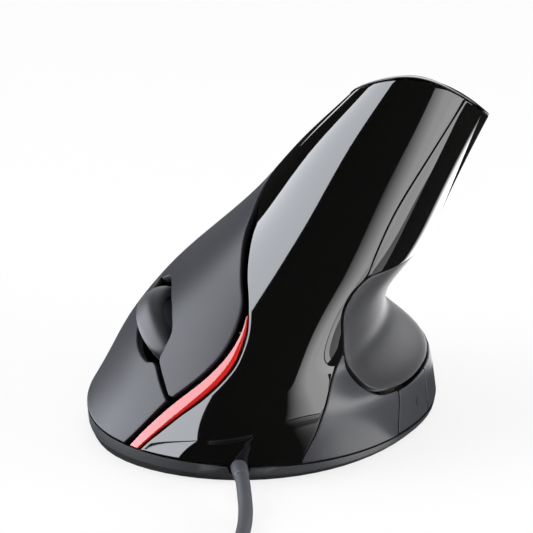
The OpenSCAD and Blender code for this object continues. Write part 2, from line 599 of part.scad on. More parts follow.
module wheel_tyre() {
    // Half of an ellipse over the hub's edge
    crown = [for (a = [-75:15:75]) [hub_d / 2 + (wheel_d - hub_d) / 2 * cos(a), wheel_w / 2 * sin(a)]];
    color("#2a2c31") in_wheel() rotate([0, 90, 0]) rotate_extrude()
        polygon(concat([[hub_d / 2, -hub_w / 2]], crown, [[hub_d / 2, hub_w / 2]]));
}
module wheel_hub() {
    color("#6a6d74") in_wheel() rotate([0, 90, 0]) difference() {
        cylinder(d = hub_d, h = hub_w, center = true);
        cylinder(d = axle_d, h = hub_w + over, center = true);
        for (s = [-1, 1]) translate([0, 0, s * hub_w / 2]) difference() {
            cylinder(d = hub_d * 0.8, h = hub_w / 3, center = true);
            cylinder(d = axle_d * 2, h = hub_w, center = true);
        }
    }
}
module wheel_axle() {
    color("#b8bcc2") in_wheel() translate([(axle_l - fork_w - 2 * fork_wall) / 2 - over, 0, 0])
        rotate([0, 90, 0]) cylinder(d = axle_d, h = axle_l, center = true);
}
module wheel_carrier() {
    color("#8a8d93") in_wheel() difference() {
        union() {
            for (s = [-1, 1]) translate([s * (fork_w + fork_wall) / 2, 0, 0]) {
                translate([0, 0, -fork_drop / 2]) cube([fork_wall, arm_w, fork_drop], center = true);
                rotate([0, 90, 0]) cylinder(d = arm_w, h = fork_wall, center = true);
            }
            translate([0, 0, -fork_drop - fork_wall / 2])
                cube([fork_w + 2 * fork_wall, foot_l, fork_wall], center = true);
        }
        rotate([0, 90, 0]) cylinder(d = axle_d + 2 * axle_gap, h = fork_w + 4 * fork_wall, center = true);
    }
}
module wheel_encoder() {
    color("#3f7d54") in_wheel() translate([fork_w / 2 + fork_wall + encoder_w / 2, 0, 0])
        difference() {
            translate([0, 0, axle_d * 0.75 - encoder_h / 2])
                cube([encoder_w, encoder_l, encoder_h], center = true);
            rotate([0, 90, 0]) cylinder(d = axle_d + 2 * axle_gap, h = encoder_w + over, center = true);
        }
}
module tact(w, h) {
    translate([0, 0, h / 2]) cube([w, w, h], center = true);
    translate([0, 0, h - over]) cylinder(d = plunger_d, h = plunger_h + over);
}
module wheel_switch() {
    color("#d8d2c4") in_wheel() translate([0, 0, board_top]) tact(tact_w, tact_h);
}
module finger_board() {
    color("#2f6b45") difference() {
        in_wheel() translate([board_x[0], board_y[0], board_top - board_t])
            cube([board_x[1] - board_x[0], board_y[1] - board_y[0], board_t]);
        // A corner that would reach the base's floor is cut level with it
        translate([-body_w, -body_l, floor_z + 2 * fit - body_h]) cube([2 * body_w, 2 * body_l, body_h]);
    }
}
module finger_switch(at) {
    in_wheel() translate([at[0], at[1], board_top]) {
        translate([-switch_w / 2, -switch_w / 2, 0]) cube([switch_w, switch_l, switch_h]);
        translate([0, 0, switch_h - over]) cylinder(d = plunger_d, h = plunger_h + over);
    }
}
module index_switch() {
    color("#e6e2d8") finger_switch(index_at);
}
module middle_switch() {
    color("#e6e2d8") finger_switch(middle_at);
}
// Shares of the board's sides, then of the body's width and length, for each post
post_share = [[0.25, 0.87, -0.13, 0], [0.85, 0.82, 0.01, -0.08], [0.85, 0.18, 0, -0.207]];
module board_frame() {
    color("#55585f") for (p = post_share) {
        hull() {
            translate([p[2] * body_w, p[3] * body_l, floor_z]) cylinder(d = post_d, h = wall, $fn = 24);
            in_wheel() translate([mix(board_x[0], board_x[1], p[0]), mix(board_y[0], board_y[1], p[1]),
                board_top - board_t - wall]) cylinder(d = post_d, h = wall, $fn = 24);
        }
    }
    color("#55585f") hull() for (p = post_share)
        translate([p[2] * body_w, p[3] * body_l, floor_z]) cylinder(d = post_d, h = wall, $fn = 24);
}

module on_main(x, y) {
    translate([main_at[0] + x, main_at[1] + y, main_z + board_t]) children();
}
module main_board() {
    color("#2f6b45") translate([main_at[0] - main_w / 2, main_at[1] - main_l / 2, main_z])
        cube([main_w, main_l, board_t]);
}
module sensor_chip() {
    color("#1c1d20") on_main(0, 0) translate([-chip_w / 2, -chip_l / 2, 0]) cube([chip_w, chip_l, chip_h]);
}
module sensor_lens() {
    color("#d9e2e6") {
        translate([main_at[0], main_at[1], floor_z + boss_h / 2])
            cube([window_w + 2 * wall, window_l + wall, boss_h - 2 * fit], center = true);
        translate([main_at[0], main_at[1], foot_t + over]) cylinder(d = window_w / 2, h = floor_t + over);
    }
}
module sensor_lamp() {
    color("#d24a3c") on_main(chip_w / 2 + plunger_d, 0) {
        cylinder(d = axle_d, h = tact_h);
        translate([0, 0, tact_h]) sphere(d = axle_d);
    }
}
module control_chip() {
    color("#1c1d20") on_main(-main_w / 3, 0) translate([-switch_w / 2, -chip_l / 2, 0])
        cube([switch_w, chip_l, board_t]);
}
module cord_socket() {
    color("#ece9e0") on_main(main_w / 3, -main_l / 4) translate([-tact_w, -tact_w / 2, 0])
        difference() {
            cube([2 * tact_w, tact_w, tact_w]);
            translate([wall / 2, -over, wall / 2])
                cube([2 * tact_w - wall, tact_w - wall / 2, tact_w - wall]);
        }
}
module side_board() {
    color("#2f6b45") translate([side_x, (forward_y_share + back_y_share) / 2 * body_l - side_l / 2, floor_z])
        cube([board_t, side_l, side_h]);
}
module side_switch(y_share) {
    translate([side_x + board_t, y_share * body_l, tact_z]) rotate([0, 90, 0]) tact(tact_w, tact_h);
}
module forward_switch() {
    color("#d8d2c4") side_switch(forward_y_share);
}
module back_switch() {
    color("#d8d2c4") side_switch(back_y_share);
}

module screw(k) {
    color("#8f9398") translate([screw_at(k)[0], screw_at(k)[1], foot_t]) difference() {
        union() {
            cylinder(d = head_d, h = head_h - fit);
            cylinder(d = shank_d, h = shank_l);
        }
        for (a = [0, 90]) rotate([0, 0, a]) cube([head_d * 0.6, head_d / 6, head_h], center = true);
    }
}
module screw_front_left() { screw(0); }
module screw_front_right() { screw(1); }
module screw_rear_left() { screw(2); }
module screw_rear_right() { screw(3); }
module glide(k, turned) {
    half = (glide_l - glide_w) / 2;
    color("#202125") translate([glide_at(k)[0], glide_at(k)[1], 0]) rotate([0, 0, turned ? 90 : 0])
        linear_extrude(foot_t) union() {
            square([2 * half, glide_w], center = true);
            for (s = [-1, 1]) translate([s * half, 0]) circle(d = glide_w);
        }
}
module glide_front() { glide(0, false); }
module glide_rear() { glide(1, false); }
module glide_left() { glide(2, true); }
module glide_right() { glide(3, true); }

module strain_relief() {
    color("#3a3c42") out_of_bow(relief_in) rotate_extrude()
        polygon([[0, 0], [collar_d / 2, 0], [collar_d / 2, wall / 2], [relief_d / 2, wall / 2],
            [relief_d / 2, relief_in + relief_l / 3], [cord_d / 2 + fit, relief_in + relief_l],
            [0, relief_in + relief_l]]);
}
module cord_lead() {
    color("#55585f") tube(lead_path, cord_d, 8);
}
module cord_coil() {
    color("#55585f") tube(coil_path, cord_d, 6);
}
module coil_tie() {
    deep = coil_out - coil_d / 2 + cord_d / 2 + loop_gap;
    high = step + cord_d + 2 * fit;
    color("#222328") translate([coil_at[0] - coil_d / 2, coil_at[1], 0]) difference() {
        translate([0, 0, (high + 2 * tie_t) / 2])
            cube([2 * (deep + tie_t), tie_w, high + 2 * tie_t], center = true);
        translate([0, 0, tie_t + high / 2]) cube([2 * deep, tie_w + over, high], center = true);
    }
}
module plug_grip() {
    taper = grip_l / 2;
    color("#2f3136") translate(plug_at) {
        rotate([90, 0, 0]) cylinder(d1 = cord_d + 2 * fit, d2 = grip_h * 0.85, h = taper);
        translate([0, -taper - grip_l / 2 + over, 0]) rotate([90, 0, 0])
            linear_extrude(grip_l, center = true) union() {
                square([grip_w - grip_h / 2, grip_h], center = true);
                square([grip_w, grip_h / 2], center = true);
                for (x = [-1, 1], z = [-1, 1])
                    translate([x * (grip_w / 2 - grip_h / 4), z * grip_h / 4]) circle(d = grip_h / 2);
            }
    }
}
plug_face = plug_at - [0, grip_l * 1.5 - over, 0];
module plug_shell() {
    color("#c4c7cb") translate(plug_face - [0, plug_l / 2, 0]) difference() {
        cube([plug_w, plug_l, plug_h], center = true);
        translate([0, -plug_wall, 0])
            cube([plug_w - 2 * plug_wall, plug_l, plug_h - 2 * plug_wall], center = true);
        for (x = [-1, 1]) translate([x * plug_w / 5, -plug_l / 8, plug_h / 2])
            cube([plug_w / 6, plug_w / 6, plug_h / 2], center = true);
    }
}
module plug_tongue() {
    color("#e8e6e0") translate(plug_face - [0, plug_wall + plug_l * 0.35, plug_h / 2 - plug_wall])
        translate([0, 0, plug_h / 5]) cube([plug_w * 0.9, plug_l * 0.7, plug_h * 0.4], center = true);
}

base_plate();
front_shell();
palm_shell();
thumb_shell();
thumb_panel();
top_cap();
thumb_pad();
accent_strip();
index_button();
middle_button();
forward_button();
back_button();
wheel_tyre();
wheel_hub();
wheel_axle();
wheel_carrier();
wheel_encoder();
wheel_switch();
finger_board();
index_switch();
middle_switch();
board_frame();
main_board();
sensor_chip();
sensor_lens();
sensor_lamp();
control_chip();
cord_socket();
side_board();
forward_switch();
back_switch();
screw_front_left();
screw_front_right();
screw_rear_left();
screw_rear_right();
glide_front();
glide_rear();
glide_left();
glide_right();
strain_relief();
cord_lead();
cord_coil();
coil_tie();
plug_grip();
plug_shell();
plug_tongue();
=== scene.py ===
# %% [markdown]
# # An upright mouse, dressed piece by piece
# The object is a right-handed mouse that stands like a fin, so that the hand rests on its edge as
# in a handshake. A frame of exact parts is already packed: switches, wheel, boards and screws.
# This lesson puts the visible mouldings round that frame, gives each a finish, and lights it.

# %% Load the frame
import json
import math

import bmesh
import bpy
import numpy as np
from mathutils import Matrix, Vector


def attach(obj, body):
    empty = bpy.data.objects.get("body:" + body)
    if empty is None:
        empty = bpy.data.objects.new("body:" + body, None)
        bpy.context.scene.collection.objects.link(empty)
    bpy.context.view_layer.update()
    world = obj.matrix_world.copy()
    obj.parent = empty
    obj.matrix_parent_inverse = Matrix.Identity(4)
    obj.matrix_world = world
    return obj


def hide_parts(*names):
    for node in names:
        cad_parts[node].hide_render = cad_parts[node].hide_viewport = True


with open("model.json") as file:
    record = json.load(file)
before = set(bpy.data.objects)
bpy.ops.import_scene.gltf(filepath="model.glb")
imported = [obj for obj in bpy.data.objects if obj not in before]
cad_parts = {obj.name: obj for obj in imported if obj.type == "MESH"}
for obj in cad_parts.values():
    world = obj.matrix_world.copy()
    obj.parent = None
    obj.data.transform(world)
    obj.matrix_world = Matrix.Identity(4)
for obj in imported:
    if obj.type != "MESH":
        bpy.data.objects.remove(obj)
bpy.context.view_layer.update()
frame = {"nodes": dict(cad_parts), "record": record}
MM = 0.001

# %% [markdown]
# ## The camera
# A long lens from nearly a metre away keeps the upright fin free of distortion, as in a catalogue
# picture. The picture's middle isn't the mouse's middle, so a small lens shift moves the frame
# rather than turning the camera, which would make the upright lines lean.

# %% Camera
PICTURE = 533
PX_PER_MM = 3.85
CAMERA_AZIMUTH, CAMERA_ELEVATION, CAMERA_DISTANCE = 8, 18, 900
TARGET = Vector((0, 0, 46))
TARGET_PX = (283, 249)
SENSOR = 36
NEAREST, FARTHEST = 0.01, 20


def direction(azimuth, elevation):
    """Unit vector from the mouse towards a place round it; azimuth 0 is straight in front."""
    a, e = math.radians(azimuth), math.radians(elevation)
    return Vector((math.sin(a) * math.cos(e), -math.cos(a) * math.cos(e), math.sin(e)))


def facing(place, target):
    """World matrix of something at place that looks at target."""
    turn = (target - place).to_track_quat("-Z", "Y")
    return Matrix.Translation(place) @ turn.to_matrix().to_4x4()


lens = bpy.data.cameras.new("studio_camera")
camera = bpy.data.objects.new("studio_camera", lens)
bpy.context.scene.collection.objects.link(camera)
bpy.context.scene.camera = camera
view_from = TARGET + direction(CAMERA_AZIMUTH, CAMERA_ELEVATION) * CAMERA_DISTANCE
camera.matrix_world = facing(view_from * MM, TARGET * MM)
lens.sensor_width = SENSOR
lens.lens = PX_PER_MM * CAMERA_DISTANCE / PICTURE * SENSOR
lens.shift_x = (PICTURE / 2 - TARGET_PX[0]) / PICTURE
lens.shift_y = (TARGET_PX[1] - PICTURE / 2) / PICTURE
lens.clip_start, lens.clip_end = NEAREST, FARTHEST
print("lens", round(lens.lens, 1), "mm, shift", round(lens.shift_x, 4), round(lens.shift_y, 4))

# %% [markdown]
# ## The cord
# A cord is one fixed length of something flexible. It leaves the bow straight, sinks to the desk
# in a few centimetres and runs on in a lazy curve. What the picture doesn't show is wound into a
# neat flat coil of two layers with a strap round it. The route is a short list of given places,
# and the coil is a formula: inwards on the lower layer, outwards again on the upper one.

# %% Route of the cord
CORD_D = 3.6
EXIT = np.array([-3.952, -50.547, 4.6])
RELIEF_L, TIE_T, FIT, GRIP_H = 6.5, 0.8, 0.1, 8.4
LOOPS, LOOP_GAP, COIL_D = 5, 0.55, 40
EXIT_TURN = math.radians(14)
EXIT_WAY = np.array([math.sin(EXIT_TURN), -math.cos(EXIT_TURN), 0])
RELIEF_END = EXIT + EXIT_WAY * RELIEF_L
ROUTE = [(-0.3, -66, 3.8), (0.9, -72, 2.5), (1.8, -79, 1.9), (2.3, -86, 1.9), (2.8, -94, 1.9),
         (3.9, -103, 1.9), (6, -112, 1.9), (8.7, -122, 1.9), (11, -132, 1.9), (12, -141, 2.3)]
COIL_END = np.array([12, -154])
LOOP_STEP = CORD_D + LOOP_GAP
COIL_Z = TIE_T + FIT + CORD_D / 2
COIL_OUT = COIL_D / 2 + LOOP_STEP * LOOPS / 2
COIL_AT = COIL_END - [COIL_OUT, 0]
TAIL_FLAT, TAIL_DROP = 14, 20
GRIP_Z = GRIP_H / 2 + TIE_T / 2
LOOP_RINGS, CLIMB_TURNS, CORD_STEPS = 24, 0.5, 4


def coil_point(t):
    """Place on the coil after t turns; it climbs a layer in the half turn at its middle."""
    radius = COIL_OUT - LOOP_STEP * (t if t < LOOPS else 2 * LOOPS - t)
    climb = min(max((t - LOOPS) / CLIMB_TURNS + 0.5, 0), 1)
    a = 2 * math.pi * t
    return np.array([COIL_AT[0] + radius * math.cos(a), COIL_AT[1] - radius * math.sin(a),
                     COIL_Z + LOOP_STEP * climb])


def with_ends(points):
    """The points, and one more beyond each end in line with the last two."""
    return np.array([2 * points[0] - points[1], *points, 2 * points[-1] - points[-2]])


def between(a, b, c, d, f):
    """The place at share f of the way from b to c, on a cubic that also heeds a and d."""
    return (2 * b + (c - a) * f + (2 * a - 5 * b + 4 * c - d) * f ** 2
            + (3 * b - a - 3 * c + d) * f ** 3) / 2


def through(points, per):
    """Dense points on a smooth curve through the given ones."""
    p = with_ends(points)
    out = [between(*p[i - 1:i + 3], f) for i in range(1, len(p) - 2) for f in np.arange(per) / per]
    return np.array([*out, p[-2]])


coil_turns = [coil_point(i / LOOP_RINGS) for i in range(2 * LOOPS * LOOP_RINGS + 1)]
coil_start, tail = coil_turns[0] + [0, CORD_D, 0], coil_turns[-1]
drop_end = np.array([tail[0], tail[1] - TAIL_FLAT - TAIL_DROP, GRIP_Z])
route = np.array([RELIEF_END, RELIEF_END + EXIT_WAY * CORD_D, *ROUTE, coil_start + [0, CORD_D, 0],
                  coil_start, *coil_turns, tail - [0, TAIL_FLAT / 2, 0], tail - [0, TAIL_FLAT, 0],
                  drop_end, drop_end - [0, CORD_D, 0]])
path = through(route, CORD_STEPS)

# %% [markdown]
# A curve with a round bevel is the natural tool for a cord: one spline, one thickness, no seams.
# Its points carry the cord's radius and the bevel is 1, because Blender reckons a curve's box from
# the points' radius. Each piece is added by one helper, which also notes its finish for later.

# %% The cord itself
dressed = {}


def add(name, data, body, slot, *nodes):
    """Link a piece, let it ride on a body, and hide the parts of the frame that it stands for."""
    piece = bpy.data.objects.new(name, data)
    bpy.context.scene.collection.objects.link(piece)
    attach(piece, body)
    if nodes:
        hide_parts(*nodes)
    dressed[name] = slot
    return piece


curve = bpy.data.curves.new("cord", "CURVE")
curve.dimensions = "3D"
spline = curve.splines.new("POLY")
spline.points.add(len(path) - 1)
for point, place in zip(spline.points, path * MM):
    point.co = (*place, 1)
    point.radius = CORD_D / 2 * MM
curve.bevel_depth = 1
curve.bevel_resolution = 5
curve.use_fill_caps = True
cord = add("cord", curve, "mouse_body", "cord_rubber", "cord_lead", "cord_coil")
print("cord:", len(path), "points")

# %% [markdown]
# ## The skin
# Every outer moulding is a patch of one smooth skin, so neighbours always flow into each other.
# The skin is a bicubic B-spline: ten rows of eight control points, given as shares of the width,
# the length and the height. `u` runs round the body from the bow over the thumb side, and `v` runs
# from the base seam to the top. A grid would be simpler, but a spline reflects without ripples.

# %% Shares of the skin
BODY_W, BODY_L, BODY_H = 104, 101.5, 98
RISE = [0.051, 0.117, 0.189, 0.255, 0.327, 0.408, 0.500, 0.622, 0.765, 0.929]
LEAN_X = [-0.04, -0.03, 0, 0, 0, 0, 0, -0.02, -0.06, -0.10]
LEAN_Y = [0, 0, 0, 0, 0, 0, 0, -0.08, -0.20, -0.33]
CROWN = [0, 0, 0, 0, 0, 0, 0, 0.010, 0.026, 0.080]
FINGER = [-0.493, -0.460, -0.432, -0.400, -0.351, -0.288, -0.188, -0.065, 0.034, 0.157]
THUMB = [0.377, 0.369, 0.359, 0.254, 0.254, 0.285, 0.358, 0.404, 0.454, 0.500]
BOW_X = [-0.058, -0.048, -0.029, 0, 0.029, 0.067, 0.115, 0.183, 0.260, 0.337]
HEEL_X = [-0.038, -0.029, -0.019, 0, 0.038, 0.077, 0.125, 0.173, 0.269, 0.346]
BOW = [-0.498, -0.498, -0.478, -0.448, -0.404, -0.355, -0.300, -0.227, -0.153, -0.079]
HEEL = [0.493, 0.502, 0.493, 0.473, 0.443, 0.414, 0.374, 0.345, 0.315, 0.286]
FINGER_Y = [0, 0, 0, 0, 0, 0, 0.020, 0.039, 0.059, 0.079]
THUMB_Y = [0.059, 0.059, 0.079, 0.079, 0.079, 0.079, 0.079, 0.079, 0.079, 0.099]
PIVOT_Y = 0.099
FULL_BOW_THUMB = [0.50, 0.58, 0.65, 0.68, 0.70, 0.70, 0.70, 0.70, 0.70, 0.70]
FULL_THUMB_HEEL = [0.70, 0.70, 0.60, 0.45, 0.40, 0.45, 0.60, 0.70, 0.70, 0.70]
FULL_HEEL_FINGER = 0.75
FULL_FINGER_BOW = [0.68, 0.66, 0.66, 0.66, 0.70, 0.70, 0.70, 0.70, 0.70, 0.70]


def row_points(k):
    """Eight control points of a row, from its places at bow, thumb side, heel and finger side."""
    x0, x1, y0, y1 = FINGER[k] * BODY_W, THUMB[k] * BODY_W, BOW[k] * BODY_L, HEEL[k] * BODY_L
    bow, thumb = np.array([BOW_X[k] * BODY_W, y0]), np.array([x1, THUMB_Y[k] * BODY_L])
    heel, finger = np.array([HEEL_X[k] * BODY_W, y1]), np.array([x0, FINGER_Y[k] * BODY_L])

    def corner(a, b, c, full):
        return (a + b) / 2 * (1 - full) + np.array(c) * full

    bt = corner(bow, thumb, (x1, y0), FULL_BOW_THUMB[k])
    th = corner(thumb, heel, (x1, y1), FULL_THUMB_HEEL[k])
    hf = corner(heel, finger, (x0, y1), FULL_HEEL_FINGER)
    fb = corner(finger, bow, (x0, y0), FULL_FINGER_BOW[k])
    ring = [(6 * bow - fb - bt) / 4, bt, (6 * thumb - bt - th) / 4, th,
            (6 * heel - th - hf) / 4, hf, (6 * finger - hf - fb) / 4, fb]
    middle, half = (x0 + x1) / 2, (x1 - x0) / 2
    return [[x, y, RISE[k] * BODY_H + LEAN_X[k] * (x - middle) + LEAN_Y[k] * (y - PIVOT_Y * BODY_L)
             - CROWN[k] * BODY_H * ((x - middle) / half) ** 2] for x, y in ring]


net = with_ends(np.array([row_points(k) for k in range(len(RISE))]))
print("control points:", net.shape[0], "rows of", net.shape[1])

# %% [markdown]
# A place on the skin is a blend of the sixteen control points round it. Working it out for whole
# arrays at once keeps this quick, since the shells together ask for a few hundred thousand places.

# %% Places and normals on the skin


def weights(t):
    """The four weights of a uniform cubic B-spline."""
    return np.stack([(1 - t) ** 3, 3 * t ** 3 - 6 * t ** 2 + 4,
                     -3 * t ** 3 + 3 * t ** 2 + 3 * t + 1, t ** 3], -1) / 6


def skin(u, v):
    """Places on the skin in millimetres, for arrays of u and v."""
    u, v = np.broadcast_arrays(np.asarray(u, float), np.asarray(v, float))
    row, column = v * (len(RISE) - 1), 8 * (u - np.floor(u))
    i, j = np.clip(np.floor(row).astype(int), 0, len(RISE) - 2), np.floor(column).astype(int)
    up, about = weights(row - i), weights(column - j)
    place = np.zeros(u.shape + (3,))
    for m in range(4):
        for n in range(4):
            place += (up[..., m] * about[..., n])[..., None] * net[i + m, (j + n + 7) % 8]
    return place


def unit(a):
    return a / np.linalg.norm(a, axis=-1, keepdims=True)


def skin_normal(u, v, tiny=0.001):
    return unit(np.cross(skin(u + tiny, v) - skin(u - tiny, v),
                         skin(u, np.minimum(v + tiny, 1)) - skin(u, np.maximum(v - tiny, 0))))


print("top of the skin", skin(np.linspace(0, 1, 60), 1)[:, 2].max().round(1), "mm")

# %% [markdown]
# ## Seams
# A seam is a list of places on the skin, chosen where the moulds part on the real object. An edge
# is one or more such lists, and it turns a sharp corner where one ends and the next starts. First
# come the two seams that frame the gloss front shell, and the back edge of the panel beside it.

# %% Seams of the front shell
LOWER_SEAM = [(0.062, 0), (0.066, 0.05), (0.072, 0.12), (0.077, 0.20), (0.086, 0.273),
              (0.100, 0.347), (0.1135, 0.40)]
PAD_FRONT = [(0.101, 0.468), (0.084, 0.525), (0.073, 0.573), (0.073, 0.615)]
UPPER_SEAM = [(0.083, 0.652), (0.079, 0.70), (0.078, 0.757), (0.083, 0.81), (0.100, 0.90),
              (0.119, 1)]
PANEL_BACK = [(0.45, v) for v in (0.672, 0.72, 0.77, 0.83, 0.91, 1)]
GROOVE = [(-0.086, 0), (-0.080, 0.05), (-0.071, 0.108), (-0.059, 0.182), (-0.046, 0.255),
          (-0.036, 0.347), (-0.033, 0.41), (-0.038, 0.49), (-0.052, 0.56), (-0.072, 0.622),
          (-0.110, 0.702), (-0.150, 0.76), (-0.236, 0.815), (-0.33, 0.822)]
GROOVE_BACK = [(-0.33, 0.822), (-0.40, 0.845), (-0.42, 0.92), (-0.42, 1)]
print("front seams:", len(LOWER_SEAM + PAD_FRONT + UPPER_SEAM), "and", len(GROOVE + GROOVE_BACK))

# %% [markdown]
# The finger side is divided by the red strip, which tapers upwards like a blade, and by the two
# long buttons, which leave an eye-shaped slot for the wheel between them.

# %% Seams of the strip and the finger buttons
STRIP_LEFT = [(-0.099, 0), (-0.091, 0.08), (-0.082, 0.152), (-0.069, 0.242), (-0.057, 0.323),
              (-0.048, 0.40), (-0.045, 0.45), (-0.0455, 0.50), (-0.050, 0.545)]
STRIP_RIGHT = [(-0.088, 0), (-0.076, 0.09), (-0.067, 0.145), (-0.051, 0.24), (-0.040, 0.325),
               (-0.0355, 0.40), (-0.037, 0.45), (-0.0405, 0.50), (-0.0485, 0.55)]
INDEX_LOW = [(-0.0812, 0.247), (-0.096, 0.298), (-0.114, 0.357), (-0.1165, 0.397), (-0.121, 0.455),
             (-0.138, 0.50), (-0.158, 0.530), (-0.188, 0.555), (-0.215, 0.555), (-0.240, 0.520),
             (-0.27, 0.504), (-0.33, 0.504)]
INDEX_HIGH = [(-0.0748, 0.2455), (-0.066, 0.30), (-0.057, 0.365), (-0.0515, 0.43),
              (-0.0525, 0.505), (-0.062, 0.575), (-0.080, 0.625), (-0.105, 0.675),
              (-0.137, 0.722), (-0.175, 0.770), (-0.236, 0.806), (-0.33, 0.815)]
MIDDLE_HIGH = [(-0.079, 0.228), (-0.098, 0.288), (-0.117, 0.343), (-0.130, 0.338), (-0.150, 0.356),
               (-0.171, 0.386), (-0.205, 0.443), (-0.238, 0.496), (-0.27, 0.503), (-0.33, 0.503)]
MIDDLE_LOW = [(u, 0) for u in (-0.105, -0.118, -0.132, -0.145, -0.160, -0.18, -0.21, -0.245,
                               -0.275, -0.33)]
print("strip seams:", len(STRIP_LEFT), "and", len(STRIP_RIGHT), "keys")

# %% [markdown]
# On the thumb side a small shell, two flat buttons and the rubber pad meet, and the palm shell
# closes the rest. Its keys have u below zero, one turn back, so that it runs round the heel.

# %% Seams of the thumb side and the palm shell
THUMB_BACK = [(0.171, v) for v in (0, 0.06, 0.13, 0.186)]
THUMB_TOP = [(0.171, 0.186), (0.146, 0.206), (0.127, 0.268), (0.117, 0.392)]
FORWARD_LOW = [(u, 0) for u in (0.171, 0.19, 0.21, 0.23)]
FORWARD_HIGH = [(0.171, 0.188), (0.19, 0.182), (0.21, 0.180), (0.23, 0.179)]
BACK_LOW = [(u, 0) for u in (0.23, 0.25, 0.27, 0.288)]
BACK_HIGH = [(0.23, 0.179), (0.25, 0.179), (0.27, 0.181), (0.288, 0.185)]
PAD_LOW = [(0.076, 0.59), (0.082, 0.545), (0.104, 0.468), (0.117, 0.403), (0.127, 0.33),
           (0.137, 0.247), (0.161, 0.208), (0.20, 0.190), (0.26, 0.188), (0.315, 0.206),
           (0.353, 0.28), (0.367, 0.40)]
PAD_HIGH = [(0.076, 0.60), (0.079, 0.63), (0.089, 0.649), (0.106, 0.654), (0.126, 0.655),
            (0.15, 0.655), (0.20, 0.653), (0.25, 0.655), (0.30, 0.646), (0.339, 0.610),
            (0.359, 0.54), (0.368, 0.44)]
PALM_LEFT = [(-0.712, 0), (-0.712, 0.09), (-0.712, 0.185)]
PALM_PAD = [(-0.712, 0.185), (-0.68, 0.198), (-0.643, 0.268), (-0.629, 0.40), (-0.638, 0.53),
            (-0.656, 0.616), (-0.69, 0.6644)]
PALM_PANEL = [(-0.69, 0.6644), (-0.62, 0.6682), (-0.55, 0.672)]
PALM_TOP = [(-0.55, v) for v in (0.672, 0.75, 0.83, 0.91, 1)]
PALM_RIGHT = [(-0.33, v) for v in (0, 0.09, 0.185, 0.26, 0.33, 0.41, 0.49, 0.56, 0.62, 0.655,
                                   0.686, 0.822)]
print("pad seams:", len(PAD_LOW), "and", len(PAD_HIGH), "keys")

# %% [markdown]
# Between its keys a seam is the same cubic as the cord's, taken in u and v instead of in space.

# %% Places along an edge


def along(edge, s):
    """Places at shares s of an edge, from a cubic through each list's keys."""
    spans = [len(keys) - 1 for keys in edge]
    at = np.asarray(s, float) * sum(spans)
    out = np.zeros(at.shape + (2,))
    first = 0
    for keys, span in zip(edge, spans):
        k = with_ends(np.array(keys, float))
        local = np.clip(at - first, 0, span)
        i = np.minimum(np.floor(local).astype(int), span - 1)
        f = (local - i)[..., None]
        here = at >= first
        out[here] = between(*(k[i + n] for n in range(4)), f)[here]
        first += span
    return out


groove = skin(*along([GROOVE, GROOVE_BACK], np.linspace(0, 1, 200)).T)
print("groove", round(np.linalg.norm(np.diff(groove, axis=0), axis=1).sum(), 1), "mm long")

# %% [markdown]
# ## From patch to moulding
# Moulded shells never have knife edges: a small roll catches a line of light along every seam. We
# could bevel the finished shell, but at a shallow corner a bevel wanders. Instead the grid itself
# is laid with rows close to the edge, and each drops along a quarter circle. Where a row meets the
# edge at a slant, its steps are made longer, so that the roll keeps its width.

# %% Steps across a roll
ROLL_STEPS, LEAST_SLANT, MOST_ROLL, TINY = 4, 0.18, 0.9, 1e-9


def slants(places):
    """At each end of each row, the sine of the row's angle with the edge it starts from."""
    out = []
    for edge, beside in ((places[:, 0], places[:, 1]), (places[:, -1], places[:, -2])):
        into = unit(beside - edge)
        side = unit(np.diff(edge, axis=0) + TINY)
        sines = [np.linalg.norm(np.cross(side, into[k:k + len(side)]), axis=-1) for k in (0, 1)]
        both = np.minimum(np.append(sines[0], sines[1][-1]), np.append(sines[0][0], sines[1]))
        soft = np.convolve(np.pad(both, 1, mode="edge"), [0.25, 0.5, 0.25], mode="valid")
        out.append(np.maximum(soft, LEAST_SLANT))
    return out


def stations(length, near_slant, far_slant, gap, roll, marks):
    """Shares across a strip: close together in the two rolls, and evenly between the marks."""
    quarter = np.linspace(0, math.pi / 2, ROLL_STEPS + 1)
    edge = gap + roll * (1 - np.cos(quarter))
    near, far = edge / near_slant, edge / far_slant
    squeeze = min(1, MOST_ROLL * length / (near[-1] + far[-1]))
    near, far = near * squeeze / length, far * squeeze / length
    index, share = zip(*marks)
    stops = [near[-1], *share[1:-1], 1 - far[-1]]
    inner = np.interp(np.arange(1, index[-1]), index, stops)
    return np.concatenate([near, inner, 1 - far[::-1]]), squeeze


def tilt(count):
    """How far each row of a strip is turned over by its roll, from 0, flat, to 1, at the lip."""
    turn = np.cos(np.linspace(0, math.pi / 2, ROLL_STEPS + 1))
    return np.concatenate([turn, np.zeros(count - 1), turn[::-1]])


print("a roll has", ROLL_STEPS, "steps")

# %% [markdown]
# The patch itself is laid between a low and a high edge. A trial grid first tells how long its
# rows and columns are, and how they slant. The low edge is walked evenly. The high one may be
# walked at another pace, so that the rows lie square to a long bend. A row starts wherever an edge
# turns a corner, because a corner between two rows would be cut off.

# %% Rows and columns of a patch
FINE, COARSE, LEAST_ROWS = 161, 41, 4


def lengths(lines):
    return np.linalg.norm(np.diff(lines, axis=1), axis=-1).sum(axis=1)


